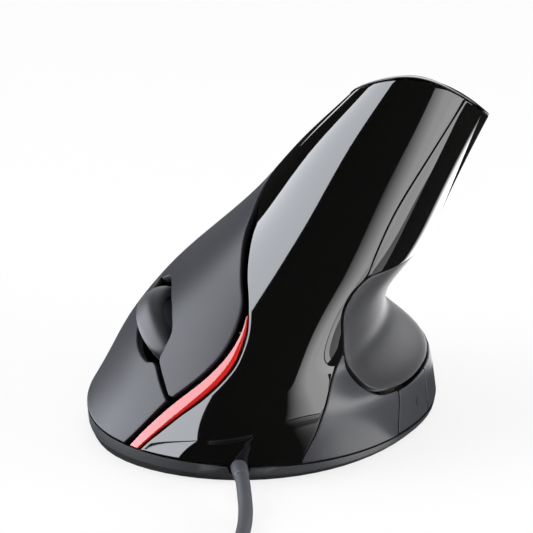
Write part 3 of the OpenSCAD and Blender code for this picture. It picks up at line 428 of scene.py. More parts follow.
def laid_grid(low, high, gap, roll, end_roll, pitch, pace):
    """u, v, drop and shares of every point of a patch between two edges."""
    fine, coarse = np.linspace(0, 1, FINE), np.linspace(0, 1, COARSE)
    low_uv, high_uv = along(low, fine), along(high, np.interp(fine, *pace))
    mesh = low_uv[:, None] + (high_uv - low_uv)[:, None] * coarse[None, :, None]
    places = skin(mesh[..., 0], mesh[..., 1])
    wide, tall = lengths(places), lengths(places.transpose(1, 0, 2))
    across, up = (max(LEAST_ROWS, round(span.max() / pitch)) for span in (wide, tall))
    corners = set()
    for edge, back in ((low, (fine, fine)), (high, (np.interp(fine, *pace), fine))):
        ends = np.cumsum([len(keys) - 1 for keys in edge])
        corners |= {round(float(np.interp(end, *back)), 4) for end in ends[:-1] / ends[-1]}
    marks = [(0, 0), *((round(c * up), c) for c in sorted(corners)), (up, 1)]
    near, far = slants(places.transpose(1, 0, 2))
    columns = np.linspace(0, 1, across + 2 * ROLL_STEPS + 1)
    at = [np.interp(columns, coarse, values) for values in (tall, near, far)]
    s, squeeze_s = zip(*(stations(*here, gap, end_roll, marks) for here in zip(*at)))
    s = np.array(s).T
    near, far = slants(places)
    t, squeeze = np.zeros(s.shape), np.zeros(s.shape)
    for j, i in np.ndindex(s.shape):
        here = [np.interp(s[j, i], fine, values) for values in (wide, near, far)]
        shares, squeeze[j, i] = stations(*here, gap, roll, [(0, 0), (across, 1)])
        t[j, i] = shares[i]
    a, b = along(low, s), along(high, np.interp(s, *pace))
    uv = a + (b - a) * t[..., None]
    side_drop = roll * squeeze * (1 - np.sqrt(1 - tilt(across) ** 2))[None, :]
    end_drop = end_roll * np.array(squeeze_s)[None, :] * (1 - np.sqrt(1 - tilt(up) ** 2))[:, None]
    return uv[..., 0], uv[..., 1], np.hypot(side_drop, end_drop), s, t


print("a patch takes", FINE * COARSE, "trial points")

# %% [markdown]
# Now operators make the mesh. A grid has its points moved onto the skin, and Solidify gives it a
# second layer and a border. That layer is then moved to an exact depth below the skin, because an
# even thickness would follow the roll and spoil the inside of the lip.

# %% Operators that make a wall of it
WALL, SEAM = 2, 0.4


def grid_mesh(places, outward):
    """An operator's grid moved to the given places, facing outward at its middle."""
    n_j, n_i = places.shape[:2]
    bm = bmesh.new()
    bmesh.ops.create_grid(bm, x_segments=n_i - 1, y_segments=n_j - 1, size=1)
    number = bm.verts.layers.int.new("number")
    for vert in bm.verts:
        i, j = round((vert.co.x + 1) / 2 * (n_i - 1)), round((vert.co.y + 1) / 2 * (n_j - 1))
        vert.co = places[j, i] * MM
        vert[number] = j * n_i + i
        if (j, i) == (n_j // 2, n_i // 2):
            middle = vert
    bm.normal_update()
    if middle.normal.dot(outward) < 0:
        bmesh.ops.reverse_faces(bm, faces=bm.faces)
    return bm


def thicken(bm, inner):
    """Give the grid a wall: the operator's inner layer is moved to the given places."""
    number = bm.verts.layers.int["number"]
    made = bmesh.ops.solidify(bm, geom=bm.faces[:], thickness=WALL * MM)
    flat = inner.reshape(-1, 3) * MM
    for vert in made["geom"]:
        if isinstance(vert, bmesh.types.BMVert):
            vert.co = flat[vert[number]]


def to_mesh(name, bm):
    mesh = bpy.data.meshes.new(name)
    bm.to_mesh(mesh)
    bm.free()
    mesh.shade_smooth()
    return mesh


ROLL, PITCH, STEADY = 0.3, 1.1, ((0, 1), (0, 1))


def moulding(name, low, high, body, slot, node, thick=WALL, gap=SEAM / 2, roll=ROLL,
             end_roll=ROLL, pitch=PITCH, relief=lambda s, t: 0 * s, pace=STEADY):
    """A shell of the skin between two edges, which stands for one node of the frame."""
    u, v, drop, s, t = laid_grid(low, high, gap, roll, end_roll, pitch, pace)
    normal = skin_normal(u, v)
    hollow = relief(s, t)
    places = skin(u, v) - normal * (drop + hollow)[..., None]
    j, i = places.shape[0] // 2, places.shape[1] // 2
    bm = grid_mesh(places, Vector(normal[j, i]))
    thicken(bm, skin(u, v) - normal * (thick + hollow)[..., None])
    print(name, places.shape[0], "x", places.shape[1], "points")
    return add(name, to_mesh(name, bm), body, slot, node)

# %% [markdown]
# ## The mouldings
# The front shell carries the high gloss and wraps round the bow. The palm shell closes the back,
# and two small shells close the thumb side. The panel beside the front shell sits tight against it
# with hardly any roll, as two parts of one gloss surface do. The front shell's far edge turns away
# over the top, so its pace is quicker there.

# %% Shells
FRONT_PACE = ((0, 0.50, 0.625, 0.75, 0.8125, 0.875, 1), (0, 0.52, 0.75, 0.905, 0.95, 0.972, 1))
TIGHT_GAP, TIGHT_ROLL, END_ROLL, FINE_ROLL, FINE_PITCH = SEAM / 4, 0.12, 0.2, 0.25, 0.8
moulding("front_moulding", [GROOVE, GROOVE_BACK], [LOWER_SEAM + PAD_FRONT + UPPER_SEAM],
         "mouse_body", "shell_gloss", "front_shell", end_roll=END_ROLL, pace=FRONT_PACE)
moulding("palm_moulding", [PALM_LEFT, PALM_PAD, PALM_PANEL, PALM_TOP], [PALM_RIGHT, GROOVE_BACK],
         "mouse_body", "side_satin", "palm_shell", end_roll=END_ROLL)
moulding("thumb_moulding", [LOWER_SEAM], [THUMB_BACK, THUMB_TOP], "mouse_body", "panel_gloss",
         "thumb_shell", roll=FINE_ROLL, pitch=FINE_PITCH)
moulding("panel_moulding", [UPPER_SEAM], [PANEL_BACK], "mouse_body", "shell_gloss", "thumb_panel",
         gap=TIGHT_GAP, roll=TIGHT_ROLL, end_roll=END_ROLL)

# %% [markdown]
# The buttons are patches of the same skin on bodies of their own, so they move with the joints.
# The thumb buttons get twice the gap, because each slides inwards between two neighbours.

# %% Buttons
KEY_WALL, SIDE_WALL, SIDE_PITCH, SIDE_ROLL = 2, 1.8, 0.6, 0.2
for name, low, high in (("index", INDEX_LOW, INDEX_HIGH), ("middle", MIDDLE_LOW, MIDDLE_HIGH)):
    moulding(name + "_moulding", [low], [high], name + "_key", "key_satin", name + "_button",
             thick=KEY_WALL, pitch=FINE_PITCH)
for name, low, high in (("forward", FORWARD_LOW, FORWARD_HIGH), ("back", BACK_LOW, BACK_HIGH)):
    moulding(name + "_moulding", [low], [high], name + "_key", "panel_gloss", name + "_button",
             thick=SIDE_WALL, gap=SEAM, roll=SIDE_ROLL, end_roll=SIDE_ROLL, pitch=SIDE_PITCH)

# %% [markdown]
# The red strip's section is two facets that meet in a ridge. A bump in the material would look
# right from the front only, so the ridge is real.

# %% Red strip
STRIP_RIDGE, STRIP_RIDGE_AT, STRIP_PITCH, TIP_ROLL = 0.35, (0.88, 0.5), 0.3, 0.1


def ridge(s, t):
    """The strip's section: two facets that meet in a ridge, lower at both sides and at the tip."""
    at = np.interp(s, (0, 1), STRIP_RIDGE_AT)
    side = np.where(t < at, 1 - t / at, (t - at) / (1 - at))
    return STRIP_RIDGE * side * (1 - s ** 4)


moulding("accent_moulding", [STRIP_LEFT], [STRIP_RIGHT], "mouse_body", "accent_red",
         "accent_strip", gap=TIGHT_GAP, roll=TIGHT_ROLL, end_roll=TIP_ROLL, pitch=STRIP_PITCH,
         relief=ridge)

# %% [markdown]
# The thumb rests in a saddle of soft rubber. It is one more patch of the skin, sunk below its
# neighbours and pressed in at the middle. Its roll is fuller, because soft rubber holds no edge. A
# cloth simulation would swell it like a cushion, but this pad is a thin skin glued to the shell.

# %% Thumb pad
PAD_WALL, PAD_SCOOP, PAD_SINK, PAD_GAP, PAD_ROLL, PAD_PITCH = 2.4, 0.9, 0.1, SEAM / 8, 0.4, 0.9


def saddle(s, t):
    return PAD_SINK + PAD_SCOOP * np.sin(math.pi * s) * np.sin(math.pi * t)


pad = moulding("pad_moulding", [PAD_LOW], [PAD_HIGH], "mouse_body", "pad_rubber", "thumb_pad",
               thick=PAD_WALL, gap=PAD_GAP, roll=PAD_ROLL, end_roll=PAD_ROLL, pitch=PAD_PITCH,
               relief=saddle)

# %% [markdown]
# The forward button carries a small raised arrow head, so that a thumb tells it from the other. It
# starts as one flat outline at the origin, which is extruded and turned onto the button. A text
# object could do it too, but six points are simpler and belong to no typeface.

# %% Arrow mark
MARK_AT, MARK_ARM, MARK_LINE, MARK_RISE = (0.203, 0.093), 1.3, 0.42, 0.14
MARK_CUT, MARK_NOSE = 0.4 * MARK_LINE, 1.2 * MARK_LINE


def axes_at(place, *axes):
    """Matrix that puts a thing's X, Y and Z along three axes at a place in millimetres."""
    return Matrix([[*row, at * MM] for row, at in zip(zip(*axes), place)] + [[0, 0, 0, 1]])


mark_z = Vector(skin_normal(*map(np.array, MARK_AT)))
mark_x = Vector((0, 0, 1)).cross(mark_z).normalized()
on_button = axes_at(skin(*MARK_AT), mark_x, mark_z.cross(mark_x), mark_z)
outline = [(MARK_ARM / 2, MARK_ARM), (-MARK_ARM / 2, 0), (MARK_ARM / 2, -MARK_ARM),
           (MARK_ARM / 2 + MARK_LINE, -MARK_ARM + MARK_CUT), (-MARK_ARM / 2 + MARK_NOSE, 0),
           (MARK_ARM / 2 + MARK_LINE, MARK_ARM - MARK_CUT)]
bm = bmesh.new()
face = bm.faces.new([bm.verts.new((x * MM, y * MM, -MARK_RISE * MM)) for x, y in outline])
raised = bmesh.ops.extrude_face_region(bm, geom=[face])["geom"]
bmesh.ops.translate(bm, vec=(0, 0, 2 * MARK_RISE * MM),
                    verts=[v for v in raised if isinstance(v, bmesh.types.BMVert)])
bmesh.ops.transform(bm, matrix=on_button, verts=bm.verts)
bmesh.ops.recalc_face_normals(bm, faces=bm.faces)
add("arrow_mark", to_mesh("arrow_mark", bm), "forward_key", "glide_black")
print("arrow mark at", np.round(skin(*MARK_AT), 1))

# %% [markdown]
# ## The cap
# A slab closes the fin. Its rim follows the skin's last row, and its face is a vault, so rings
# that shrink to the middle suit it better than a flat fill. The lip is a quarter round, which
# stops sooner where the vault comes down to it steeply.

# %% Cap on the fin
CAP_RISE, CAP_BEVEL, CAP_SEAM, CAP_LAP, LIP_START = 1.2, 4.5, 0.12, 0.15, 0.05
CAP_STEPS, CAP_TURNS, LIP_STEPS, CAP_MERGE = 10, 240, 12, 1e-5
rim = skin(np.linspace(0, 1, CAP_TURNS + 1), 1)
quarter = skin(np.array([0.25, -0.25, 0.5, 0]), 1)
cap_up = unit(np.cross(quarter[0] - quarter[1], quarter[2] - quarter[3]))
cap_middle = quarter.mean(axis=0)
above = ((rim - cap_middle) @ cap_up)[:, None]
inward = unit(cap_middle + cap_up * np.maximum(above, 0) - rim)
steep = 2 * (above.max() - above) / np.linalg.norm(rim - cap_middle, axis=1)[:, None]
full_turn = np.arctan2(CAP_RISE, CAP_BEVEL * steep)
layers = [rim + inward * back + cap_up * CAP_SEAM for back in (CAP_BEVEL, CAP_LAP)]
for share in np.linspace(LIP_START, 1, LIP_STEPS):
    turn = full_turn * share
    layers.append(rim + inward * CAP_BEVEL * (1 - np.cos(turn))
                  + cap_up * (CAP_SEAM + (CAP_RISE - CAP_SEAM) * np.sin(turn)))
crest, height = above.max() + CAP_RISE, ((layers[-1] - cap_middle) @ cap_up)[:, None]
across = layers[-1] - cap_up * height - cap_middle
for share in np.linspace(1, 0, CAP_STEPS + 1)[1:]:
    layers.append(cap_middle + across * share + cap_up * (crest + (height - crest) * share ** 2))
bm = grid_mesh(np.array(layers).transpose(1, 0, 2), Vector(cap_up))
bmesh.ops.remove_doubles(bm, verts=bm.verts, dist=CAP_MERGE)
bmesh.ops.contextual_create(bm, geom=[e for e in bm.edges if e.is_boundary])
bmesh.ops.recalc_face_normals(bm, faces=bm.faces)
cap = add("cap_moulding", to_mesh("cap_moulding", bm), "mouse_body", "shell_gloss", "top_cap")
print("cap", len(cap.data.vertices), "points")

# %% [markdown]
# ## The base and other parts of the frame
# The base's true shape is already in the frame, but as loose flat triangles. A copy is merged and
# shaded smooth wherever its faces meet gently, which keeps every hole and edge crisp. The strap
# and the plug's grip are soft, so the sharp edges of their copies are bevelled as well.

# %% Smooth copies
SMOOTH_BELOW, FLAT_BELOW, SOFT_STEPS = 32, 2, 3
STRAP_EDGE, GRIP_EDGE, MERGE = 0.25, 0.5, 1e-6


def smooth_copy(node, name, slot, soften=0):
    """A merged copy of one node, its sharp edges bevelled by soften and the rest shaded smooth."""
    bm = bmesh.new()
    bm.from_mesh(frame["nodes"][node].data)
    bmesh.ops.remove_doubles(bm, verts=bm.verts, dist=MERGE)
    if soften:
        bmesh.ops.dissolve_limit(bm, angle_limit=math.radians(FLAT_BELOW), verts=bm.verts,
                                 edges=bm.edges)
        sharp = [e for e in bm.edges if e.calc_face_angle(0) > math.radians(SMOOTH_BELOW)]
        bmesh.ops.bevel(bm, geom=sharp, offset=soften * MM, segments=SOFT_STEPS, affect="EDGES",
                        profile=0.5, material=-1, clamp_overlap=True)
    mesh = to_mesh(name, bm)
    mesh.set_sharp_from_angle(angle=math.radians(SMOOTH_BELOW))
    print(name, len(mesh.vertices), "points")
    add(name, mesh, "mouse_body", slot, node)


smooth_copy("base_plate", "base_moulding", "base_satin")
smooth_copy("coil_tie", "cord_strap", "tie_black", STRAP_EDGE)
smooth_copy("plug_grip", "plug_sleeve", "grip_rubber", GRIP_EDGE)

# %% [markdown]
# ## The wheel and the cord's sleeve
# Both are turned: a section is drawn once beside the axis and spun round it. A cylinder could be
# shaped ring by ring instead, but one section shows the whole form at a glance. The wheel's own
# axes come from the skin: Z stands on it, and Y runs along the slot.

# %% Axes of the wheel and the turning of a section
WHEEL_D, WHEEL_OUT, WHEEL_STEPS, SHARP_ABOVE = 25, 4.1, 96, 50
WHEEL_AT, SLOT_LOW, SLOT_HIGH = (-0.17, 0.472), (-0.129, 0.391), (-0.214, 0.523)
wheel_z = skin_normal(*map(np.array, WHEEL_AT))
slot_run = skin(*SLOT_HIGH) - skin(*SLOT_LOW)
wheel_y = unit(slot_run - wheel_z * (slot_run @ wheel_z))
wheel_x = np.cross(wheel_y, wheel_z)
wheel_at = skin(*WHEEL_AT) - wheel_z * (WHEEL_D / 2 - WHEEL_OUT)
in_wheel = axes_at(wheel_at, wheel_x, wheel_y, wheel_z)
print("wheel at", wheel_at.round(1), "with its axle along", wheel_x.round(3))


def turned(name, section, matrix, steps=WHEEL_STEPS):
    """A closed section of (place along X, radius) in millimetres, spun round the X axis."""
    bm = bmesh.new()
    verts = [bm.verts.new((x * MM, 0, r * MM)) for x, r in section]
    edges = [bm.edges.new((a, b)) for a, b in zip(verts, verts[1:] + verts[:1])]
    bmesh.ops.spin(bm, geom=verts + edges, cent=(0, 0, 0), axis=(1, 0, 0), angle=2 * math.pi,
                   steps=steps, use_merge=True)
    bmesh.ops.remove_doubles(bm, verts=bm.verts, dist=MERGE)
    bmesh.ops.recalc_face_normals(bm, faces=bm.faces)
    bmesh.ops.transform(bm, matrix=matrix, verts=bm.verts)
    mesh = to_mesh(name, bm)
    mesh.set_sharp_from_angle(angle=math.radians(SHARP_ABOVE))
    return mesh


# %% [markdown]
# The tread's section is half a fat ellipse, so the tyre runs on into its sides without a step. The
# hub is dished on both sides, and its rim carries the tyre.

# %% Tyre and hub
WHEEL_W, HUB_D, HUB_W, AXLE_D = 7.6, 19, 6.4, 3
TREAD_POWER, TREAD_ARC, TREAD_STEPS, SIDE_R, HUB_DISH = 0.72, 0.98, 16, 8.2, 0.5
TYRE_CUT, TYRE_LIP, CLEAR, HUB_RIM, HUB_SLOPE = 0.12, 0.3, 0.05, 0.6, 0.8
half = [(WHEEL_W / 2 * math.sin(a) ** TREAD_POWER,
         SIDE_R + (WHEEL_D / 2 - SIDE_R) * math.cos(a) ** TREAD_POWER)
        for a in np.linspace(0, TREAD_ARC, TREAD_STEPS) * math.pi / 2]
half += [(WHEEL_W / 2, SIDE_R), (WHEEL_W / 2 - TYRE_CUT, SIDE_R - TYRE_LIP),
         (HUB_W / 2 + CLEAR, SIDE_R - TYRE_LIP * 1.5), (HUB_W / 2 + CLEAR, HUB_D / 2),
         (HUB_W / 2 - 1, HUB_D / 2)]
tyre = [(-x, r) for x, r in reversed(half[1:])] + half
add("tyre_ring", turned("tyre_ring", tyre, in_wheel), "wheel", "tyre_rubber", "wheel_tyre")
half = [(HUB_W / 2, AXLE_D / 2), (HUB_W / 2, AXLE_D), (HUB_W / 2 - HUB_DISH, AXLE_D + HUB_RIM),
        (HUB_W / 2 - HUB_DISH, SIDE_R - HUB_RIM - HUB_SLOPE), (HUB_W / 2, SIDE_R - HUB_RIM),
        (HUB_W / 2, HUB_D / 2 - CLEAR)]
hub = [(-x, r) for x, r in half] + half[::-1]
add("wheel_core", turned("wheel_core", hub, in_wheel), "wheel", "hub_plastic", "wheel_hub")
print("tyre section:", len(tyre), "points, hub section:", len(hub))

# %% [markdown]
# The sleeve is hardly thicker than the cord, and narrows towards it, so that the cord bends
# without a kink. A round collar holds it inside the shell.

# %% Sleeve
RELIEF_D, NOTCH_D, RELIEF_IN, BORE, SLEEVE_LIP, SLEEVE_STEPS = 4.2, 5.6, 4.4, 0.5, 0.2, 48
COLLAR_D, COLLAR_L = NOTCH_D * 1.15, 1
TAPER = ((0.2, RELIEF_D / 2), (0.5, RELIEF_D / 2 - 0.06), (0.9, CORD_D / 2 + 0.13))
sleeve = [(-RELIEF_IN, BORE), (-RELIEF_IN, COLLAR_D / 2), (COLLAR_L - RELIEF_IN, COLLAR_D / 2),
          (COLLAR_L - RELIEF_IN, RELIEF_D / 2), *((RELIEF_L * share, r) for share, r in TAPER),
          (RELIEF_L - SLEEVE_LIP, CORD_D / 2 + SLEEVE_LIP / 2),
          (RELIEF_L, CORD_D / 2 - SLEEVE_LIP / 2), (RELIEF_L, BORE)]
turn_out = Matrix.Rotation(EXIT_TURN - math.pi / 2, 4, "Z")
out_of_bow = Matrix.Translation(Vector(EXIT * MM)) @ turn_out
add("relief_sleeve", turned("relief_sleeve", sleeve, out_of_bow, SLEEVE_STEPS), "mouse_body",
    "cord_rubber", "strain_relief")
print("sleeve", RELIEF_IN + RELIEF_L, "mm long")

# %% [markdown]
# The pieces that go with the cord are gathered in a list once they exist.

nodes = frame["nodes"]
on_cord = [bpy.data.objects[name] for name in ("relief_sleeve", "cord_strap", "plug_sleeve")]
on_cord += [nodes["plug_shell"], nodes["plug_tongue"]]
print("pieces on the cord:", len(on_cord))

# %% [markdown]
# ## Finishes
# A finish is a small graph of nodes. To keep the maths readable, a socket is wrapped in a class
# that understands `+`, `-` and `*`, so `0.3 + 0.1 * noise` adds the Math nodes by itself. Any
# other node comes from one method, for the finishes and the studio alike. Patterns read Object
# coordinates, in metres, so a grain of a third of a millimetre has a scale near 3000.

# %% Sockets as numbers


class Wire:
    """A shader socket that can be used in sums."""

    def __init__(self, graph, socket):
        self.graph, self.socket = graph, socket

    def __add__(self, other):
        return self.graph.math("ADD", self, other)

    def __sub__(self, other):
        return self.graph.math("SUBTRACT", self, other)

    def __rsub__(self, other):
        return self.graph.math("SUBTRACT", other, self)

    def __mul__(self, other):
        return self.graph.math("MULTIPLY", self, other)

    __radd__, __rmul__ = __add__, __mul__


class Graph:
    """A node tree to which nodes are added by name."""

    def __init__(self, tree):
        self.tree = tree

    def plug(self, socket, value):
        if isinstance(value, Wire):
            self.tree.links.new(value.socket, socket)
        elif socket.type == "RGBA" and len(value) == 3:
            socket.default_value = (*value, 1)
        else:
            socket.default_value = value

    def node(self, kind, settings=(), inputs=(), output=0):
        node = self.tree.nodes.new("ShaderNode" + kind)
        for key, value in dict(settings).items():
            setattr(node, key, value)
        pairs = inputs.items() if isinstance(inputs, dict) else enumerate(inputs)
        for key, value in pairs:
            self.plug(node.inputs[key], value)
        return Wire(self, node.outputs[output])

    def math(self, operation, a, b):
        return self.node("Math", {"operation": operation}, [a, b])


class Finish(Graph):
    """A material of one shader, with the patterns that the finishes share."""

    def __init__(self, name, **shader):
        self.material = bpy.data.materials.new(name)
        self.material.use_nodes = True
        super().__init__(self.material.node_tree)
        self.shader = self.tree.nodes["Principled BSDF"]
        for socket, value in shader.items():
            self.set(socket.replace("_", " "), value)

    def set(self, socket, value):
        self.plug(self.shader.inputs[socket], value)

    def coordinates(self):
        return self.node("TexCoord", output="Object")

    def noise(self, scale, detail=2.0, stretch=None):
        at = self.coordinates()
        if stretch:
            at = self.node("Mapping", {}, {"Vector": at, "Scale": stretch})
        return self.node("TexNoise", {}, {"Vector": at, "Scale": scale, "Detail": detail}, "Fac")

    def bump(self, height, depth):
        self.set("Normal", self.node("Bump", {}, {"Height": height, "Distance": depth}))

    def mix(self, share, a, b):
        return self.node("Mix", {"data_type": "RGBA"}, {0: share, 6: a, 7: b}, 2)


# %% [markdown]
# Moulded plastic is never one flat colour. A slow noise varies its shine as handling does, a finer
# one varies the tone by a few per cent, and the finest is the texture of the mould itself. The
# gloss shells have almost no grain and a clear coat, the satin ones a fine spark erosion, and the
# rubber a coarse grain with some sheen. A picture of a grain would do, but noise never repeats.

# %% Plastics and rubbers
SLOW_SCALE, CLOUD_SCALE = 45, 240


def moulded(name, colour, rough, shine=0.03, grain=3000, depth=4e-6, tone=0.06, **shader):
    """Plastic or rubber: a colour, a roughness and the grain left by its mould."""
    finish = Finish(name, **shader)
    slow, cloud = finish.noise(SLOW_SCALE, 3), finish.noise(CLOUD_SCALE, 4)
    fine = finish.noise(grain, 2)
    finish.set("Roughness", rough + shine * (slow - 0.5) * 2)
    light = tuple(min(1, c * (1 + tone * 2)) for c in colour)
    dark = tuple(c * (1 - tone * 2) for c in colour)
    finish.set("Base Color", finish.mix(cloud, dark, light))
    finish.bump(fine, depth)
    return finish.material


finishes = {
    "shell_gloss": moulded("gloss_black", (0.0030, 0.0030, 0.0028), 0.04, 0.012, 900, 1e-6, 0.05,
                           Coat_Weight=1.0, Coat_Roughness=0.03),
    "panel_gloss": moulded("gloss_graphite", (0.036, 0.037, 0.042), 0.3, 0.03, 1600, 2e-6, 0.05,
                           Specular_IOR_Level=0.8),
    "side_satin": moulded("satin_graphite", (0.021, 0.0218, 0.0255), 0.46, 0.04, 3600, tone=0.04,
                          Specular_IOR_Level=0.45),
    "key_satin": moulded("satin_key", (0.021, 0.0218, 0.0260), 0.44, 0.04, 3600, tone=0.04,
                         Specular_IOR_Level=0.45),
    "base_satin": moulded("satin_base", (0.034, 0.035, 0.038), 0.4, 0.04, 2600, 5e-6,
                          Specular_IOR_Level=0.8),
    "pad_rubber": moulded("pad_rubber", (0.024, 0.0245, 0.028), 0.42, 0.05, 1500, 3e-5, 0.12,
                          Specular_IOR_Level=0.8, Sheen_Weight=0.2, Sheen_Roughness=0.4),
    "accent_red": moulded("tinted_red", (0.60, 0.016, 0.012), 0.14, 0.03, 900, 2e-6,
                          Specular_IOR_Level=0.7, Coat_Weight=0.5, Coat_Roughness=0.08),
    "tyre_rubber": moulded("tyre_rubber", (0.02, 0.021, 0.024), 0.5, 0.05, 2200, 1e-5, 0.08,
                           Specular_IOR_Level=0.7, Sheen_Weight=0.25, Sheen_Roughness=0.25),
    "glide_black": moulded("glide_black", (0.02, 0.02, 0.022), 0.35, 0.05, 3000, 6e-6),
    "cord_rubber": moulded("cord_rubber", (0.060, 0.063, 0.074), 0.5, 0.06, 2400, 1e-5, 0.08),
    "grip_rubber": moulded("grip_rubber", (0.03, 0.031, 0.034), 0.5, 0.05, 2400, 1e-5),
}
for slot, colour, rough in (
        ("hub_plastic", (0.09, 0.09, 0.1), 0.4), ("frame_plastic", (0.12, 0.12, 0.13), 0.45),
        ("chip_black", (0.02, 0.02, 0.022), 0.55), ("switch_cream", (0.72, 0.68, 0.58), 0.45),
        ("encoder_green", (0.06, 0.28, 0.12), 0.45), ("socket_white", (0.8, 0.78, 0.72), 0.45),
        ("lamp_red", (0.6, 0.08, 0.05), 0.15), ("tie_black", (0.02, 0.02, 0.022), 0.5),
        ("tongue_white", (0.8, 0.79, 0.75), 0.4)):
    finishes[slot] = moulded(slot, colour, rough)
print("plastics and rubbers:", len(finishes))

# %% [markdown]
# Metal, circuit board and lens need their own graphs. Turned steel shows fine lines along one
# axis, which a noise squeezed along that axis gives. A board is a green mask with brighter tracks.

# %% Metal, boards and lens
LINE_SCALE, LINE_DEPTH, STEEL_SCALE = 300, 4e-6, 90
TRACK_SCALE, TRACK_GAP, TRACK_DEPTH, MASK_SCALE, LENS_SCALE = 260, 0.06, 2e-5, 200, 120
WHITE, BLACK = (1, 1, 1), (0, 0, 0)


def steel(name, colour, rough, squeeze):
    finish = Finish(name, Metallic=1.0)
    lines, cloud = finish.noise(LINE_SCALE, 3, squeeze), finish.noise(STEEL_SCALE)
    finish.set("Base Color", finish.mix(cloud, tuple(c * 0.9 for c in colour), colour))
    finish.set("Roughness", rough + 0.1 * lines)
    finish.bump(lines, LINE_DEPTH)
    return finish.material


def board(name):
    finish = Finish(name, Coat_Weight=0.4)
    tracks = finish.node("TexBrick", {"offset": 0.5},
                         {"Vector": finish.coordinates(), "Scale": TRACK_SCALE,
                          "Mortar Size": TRACK_GAP, "Color1": WHITE, "Color2": WHITE,
                          "Mortar": BLACK}, 1)
    finish.set("Base Color", finish.mix(tracks, (0.010, 0.052, 0.022), (0.022, 0.1, 0.042)))
    finish.set("Roughness", 0.35 + 0.1 * finish.noise(MASK_SCALE))
    finish.bump(tracks, TRACK_DEPTH)
    return finish.material


def clear(name):
    finish = Finish(name, Base_Color=(0.85, 0.9, 0.92), Transmission_Weight=0.9, IOR=1.49)
    finish.set("Roughness", 0.03 + 0.03 * finish.noise(LENS_SCALE))
    return finish.material


finishes["screw_steel"] = steel("plated_steel", (0.5, 0.5, 0.52), 0.28, (1, 1, 8))
finishes["axle_steel"] = steel("ground_steel", (0.6, 0.6, 0.62), 0.18, (8, 1, 1))
finishes["plug_steel"] = steel("bright_plate", (0.72, 0.73, 0.75), 0.16, (1, 6, 1))
finishes["board_green"] = board("solder_mask")
finishes["lens_clear"] = clear("clear_lens")
print("with metal, board and lens:", len(finishes))

# %% [markdown]
# The record names a finish for every part of the frame, and each new piece noted its own when it
# was added. Two loops then dress them all, where a line for each could forget one.

# %% Put the finishes on
slot_of = {part["node"]: part["material_slot"] for part in frame["record"]["subparts"]}
for name, node in nodes.items():
    node.data.materials.clear()
    node.data.materials.append(finishes[slot_of[name]])
for name, slot in dressed.items():
    bpy.data.objects[name].data.materials.append(finishes[slot])
print("dressed:", len(nodes), "nodes and", len(dressed), "pieces")

# %% [markdown]
# ## The studio
# Two kinds of light share the work. Lamps give the plain soft light, and mirrors don't see them.
# Gloss plastic shows its surroundings and little else, so what it mirrors are flat glowing panes,
# which nothing but a reflection sees. Each streak on the shell can then be placed by itself. The
# floor is white where the eye meets it and matte where light does, so that it keeps its shadow.

# %% Floor
FLOOR_TONE, FLOOR_GLOW, FLOOR_HALF, FLOOR_Z = 0.8, 0.8, 6, -0.0002


def plain(name, surface):
    """A material for the stage, whose surface is what surface(graph) makes."""
    material = bpy.data.materials.new(name)
    material.use_nodes = True
    graph = Graph(material.node_tree)
    graph.plug(graph.tree.nodes["Material Output"].inputs["Surface"], surface(graph))
    return material


def seen_directly(graph):
    """1 for a ray from the camera, a mirror or a lens, and 0 for the others."""
    camera_ray, glossy, through_lens = (graph.node("LightPath", output="Is %s Ray" % kind)
                                        for kind in ("Camera", "Glossy", "Transmission"))
    return graph.math("MAXIMUM", graph.math("MAXIMUM", camera_ray, glossy), through_lens)


def floor_surface(graph):
    matte = graph.node("BsdfDiffuse", {}, {"Color": (FLOOR_TONE,) * 3})
    white = graph.node("Emission", {}, {"Color": WHITE, "Strength": 1})
    return graph.node("MixShader", {}, [seen_directly(graph) * FLOOR_GLOW, matte, white])


def card(name, corners, material):
    """A four-cornered sheet of the stage; its first side has U 0 and its far side U 1."""
    bm = bmesh.new()
    face = bm.faces.new([bm.verts.new(corner) for corner in corners])
    across = bm.loops.layers.uv.new("across")
    for loop, uv in zip(face.loops, ((0, 0), (1, 0), (1, 1), (0, 1))):
        loop[across].uv = uv
    thing = bpy.data.objects.new(name, to_mesh(name, bm))
    bpy.context.scene.collection.objects.link(thing)
    thing.data.materials.append(material)
    return thing


def square(half, z):
    return [(x * half, y * half, z) for x, y in ((-1, -1), (1, -1), (1, 1), (-1, 1))]


card("floor", square(FLOOR_HALF, FLOOR_Z), plain("pale_floor", floor_surface))
print("floor", 2 * FLOOR_HALF, "m wide")

# %% [markdown]
# Three large lamps light the plastic evenly: one on each side, and a weak one over the heel.

# %% Lamps
STAND = Vector((0, 0, 0.04))


def lamp(name, azimuth, elevation, distance, size, power):
    light = bpy.data.lights.new(name, "AREA")
    light.shape = "RECTANGLE"
    light.size, light.size_y = size
    light.energy = power
    thing = bpy.data.objects.new(name, light)
    bpy.context.scene.collection.objects.link(thing)
    thing.matrix_world = facing(direction(azimuth, elevation) * distance, STAND)
    thing.visible_glossy = False
    thing.visible_camera = False
    print(name, power, "W")


lamp("left_lamp", -70, 35, 1.2, (0.9, 0.9), 9)
lamp("right_lamp", 80, 4, 1.0, (0.9, 0.5), 22)
lamp("top_lamp", 160, 75, 1.2, (0.9, 0.9), 4)

# %% [markdown]
# A pane stands round the mouse or lies on the floor, and is placed by azimuth in degrees from the
# front. The long streak on the front shell is the left panel and its floor, the broad one on the
# thumb panel is the right panel, and the pieces on the floor light what looks down. Some panes
# fade from one side, as a soft box does. Dark ones behind them keep the rest of the gloss black.

# %% Panes
DARK, COOL, LEAST_FADE, SKIRT = 0.012, (0.93, 0.96, 1.03), 0.0001, -2
FLOOR_GAP, LAYER = 0.00005, 0.00003


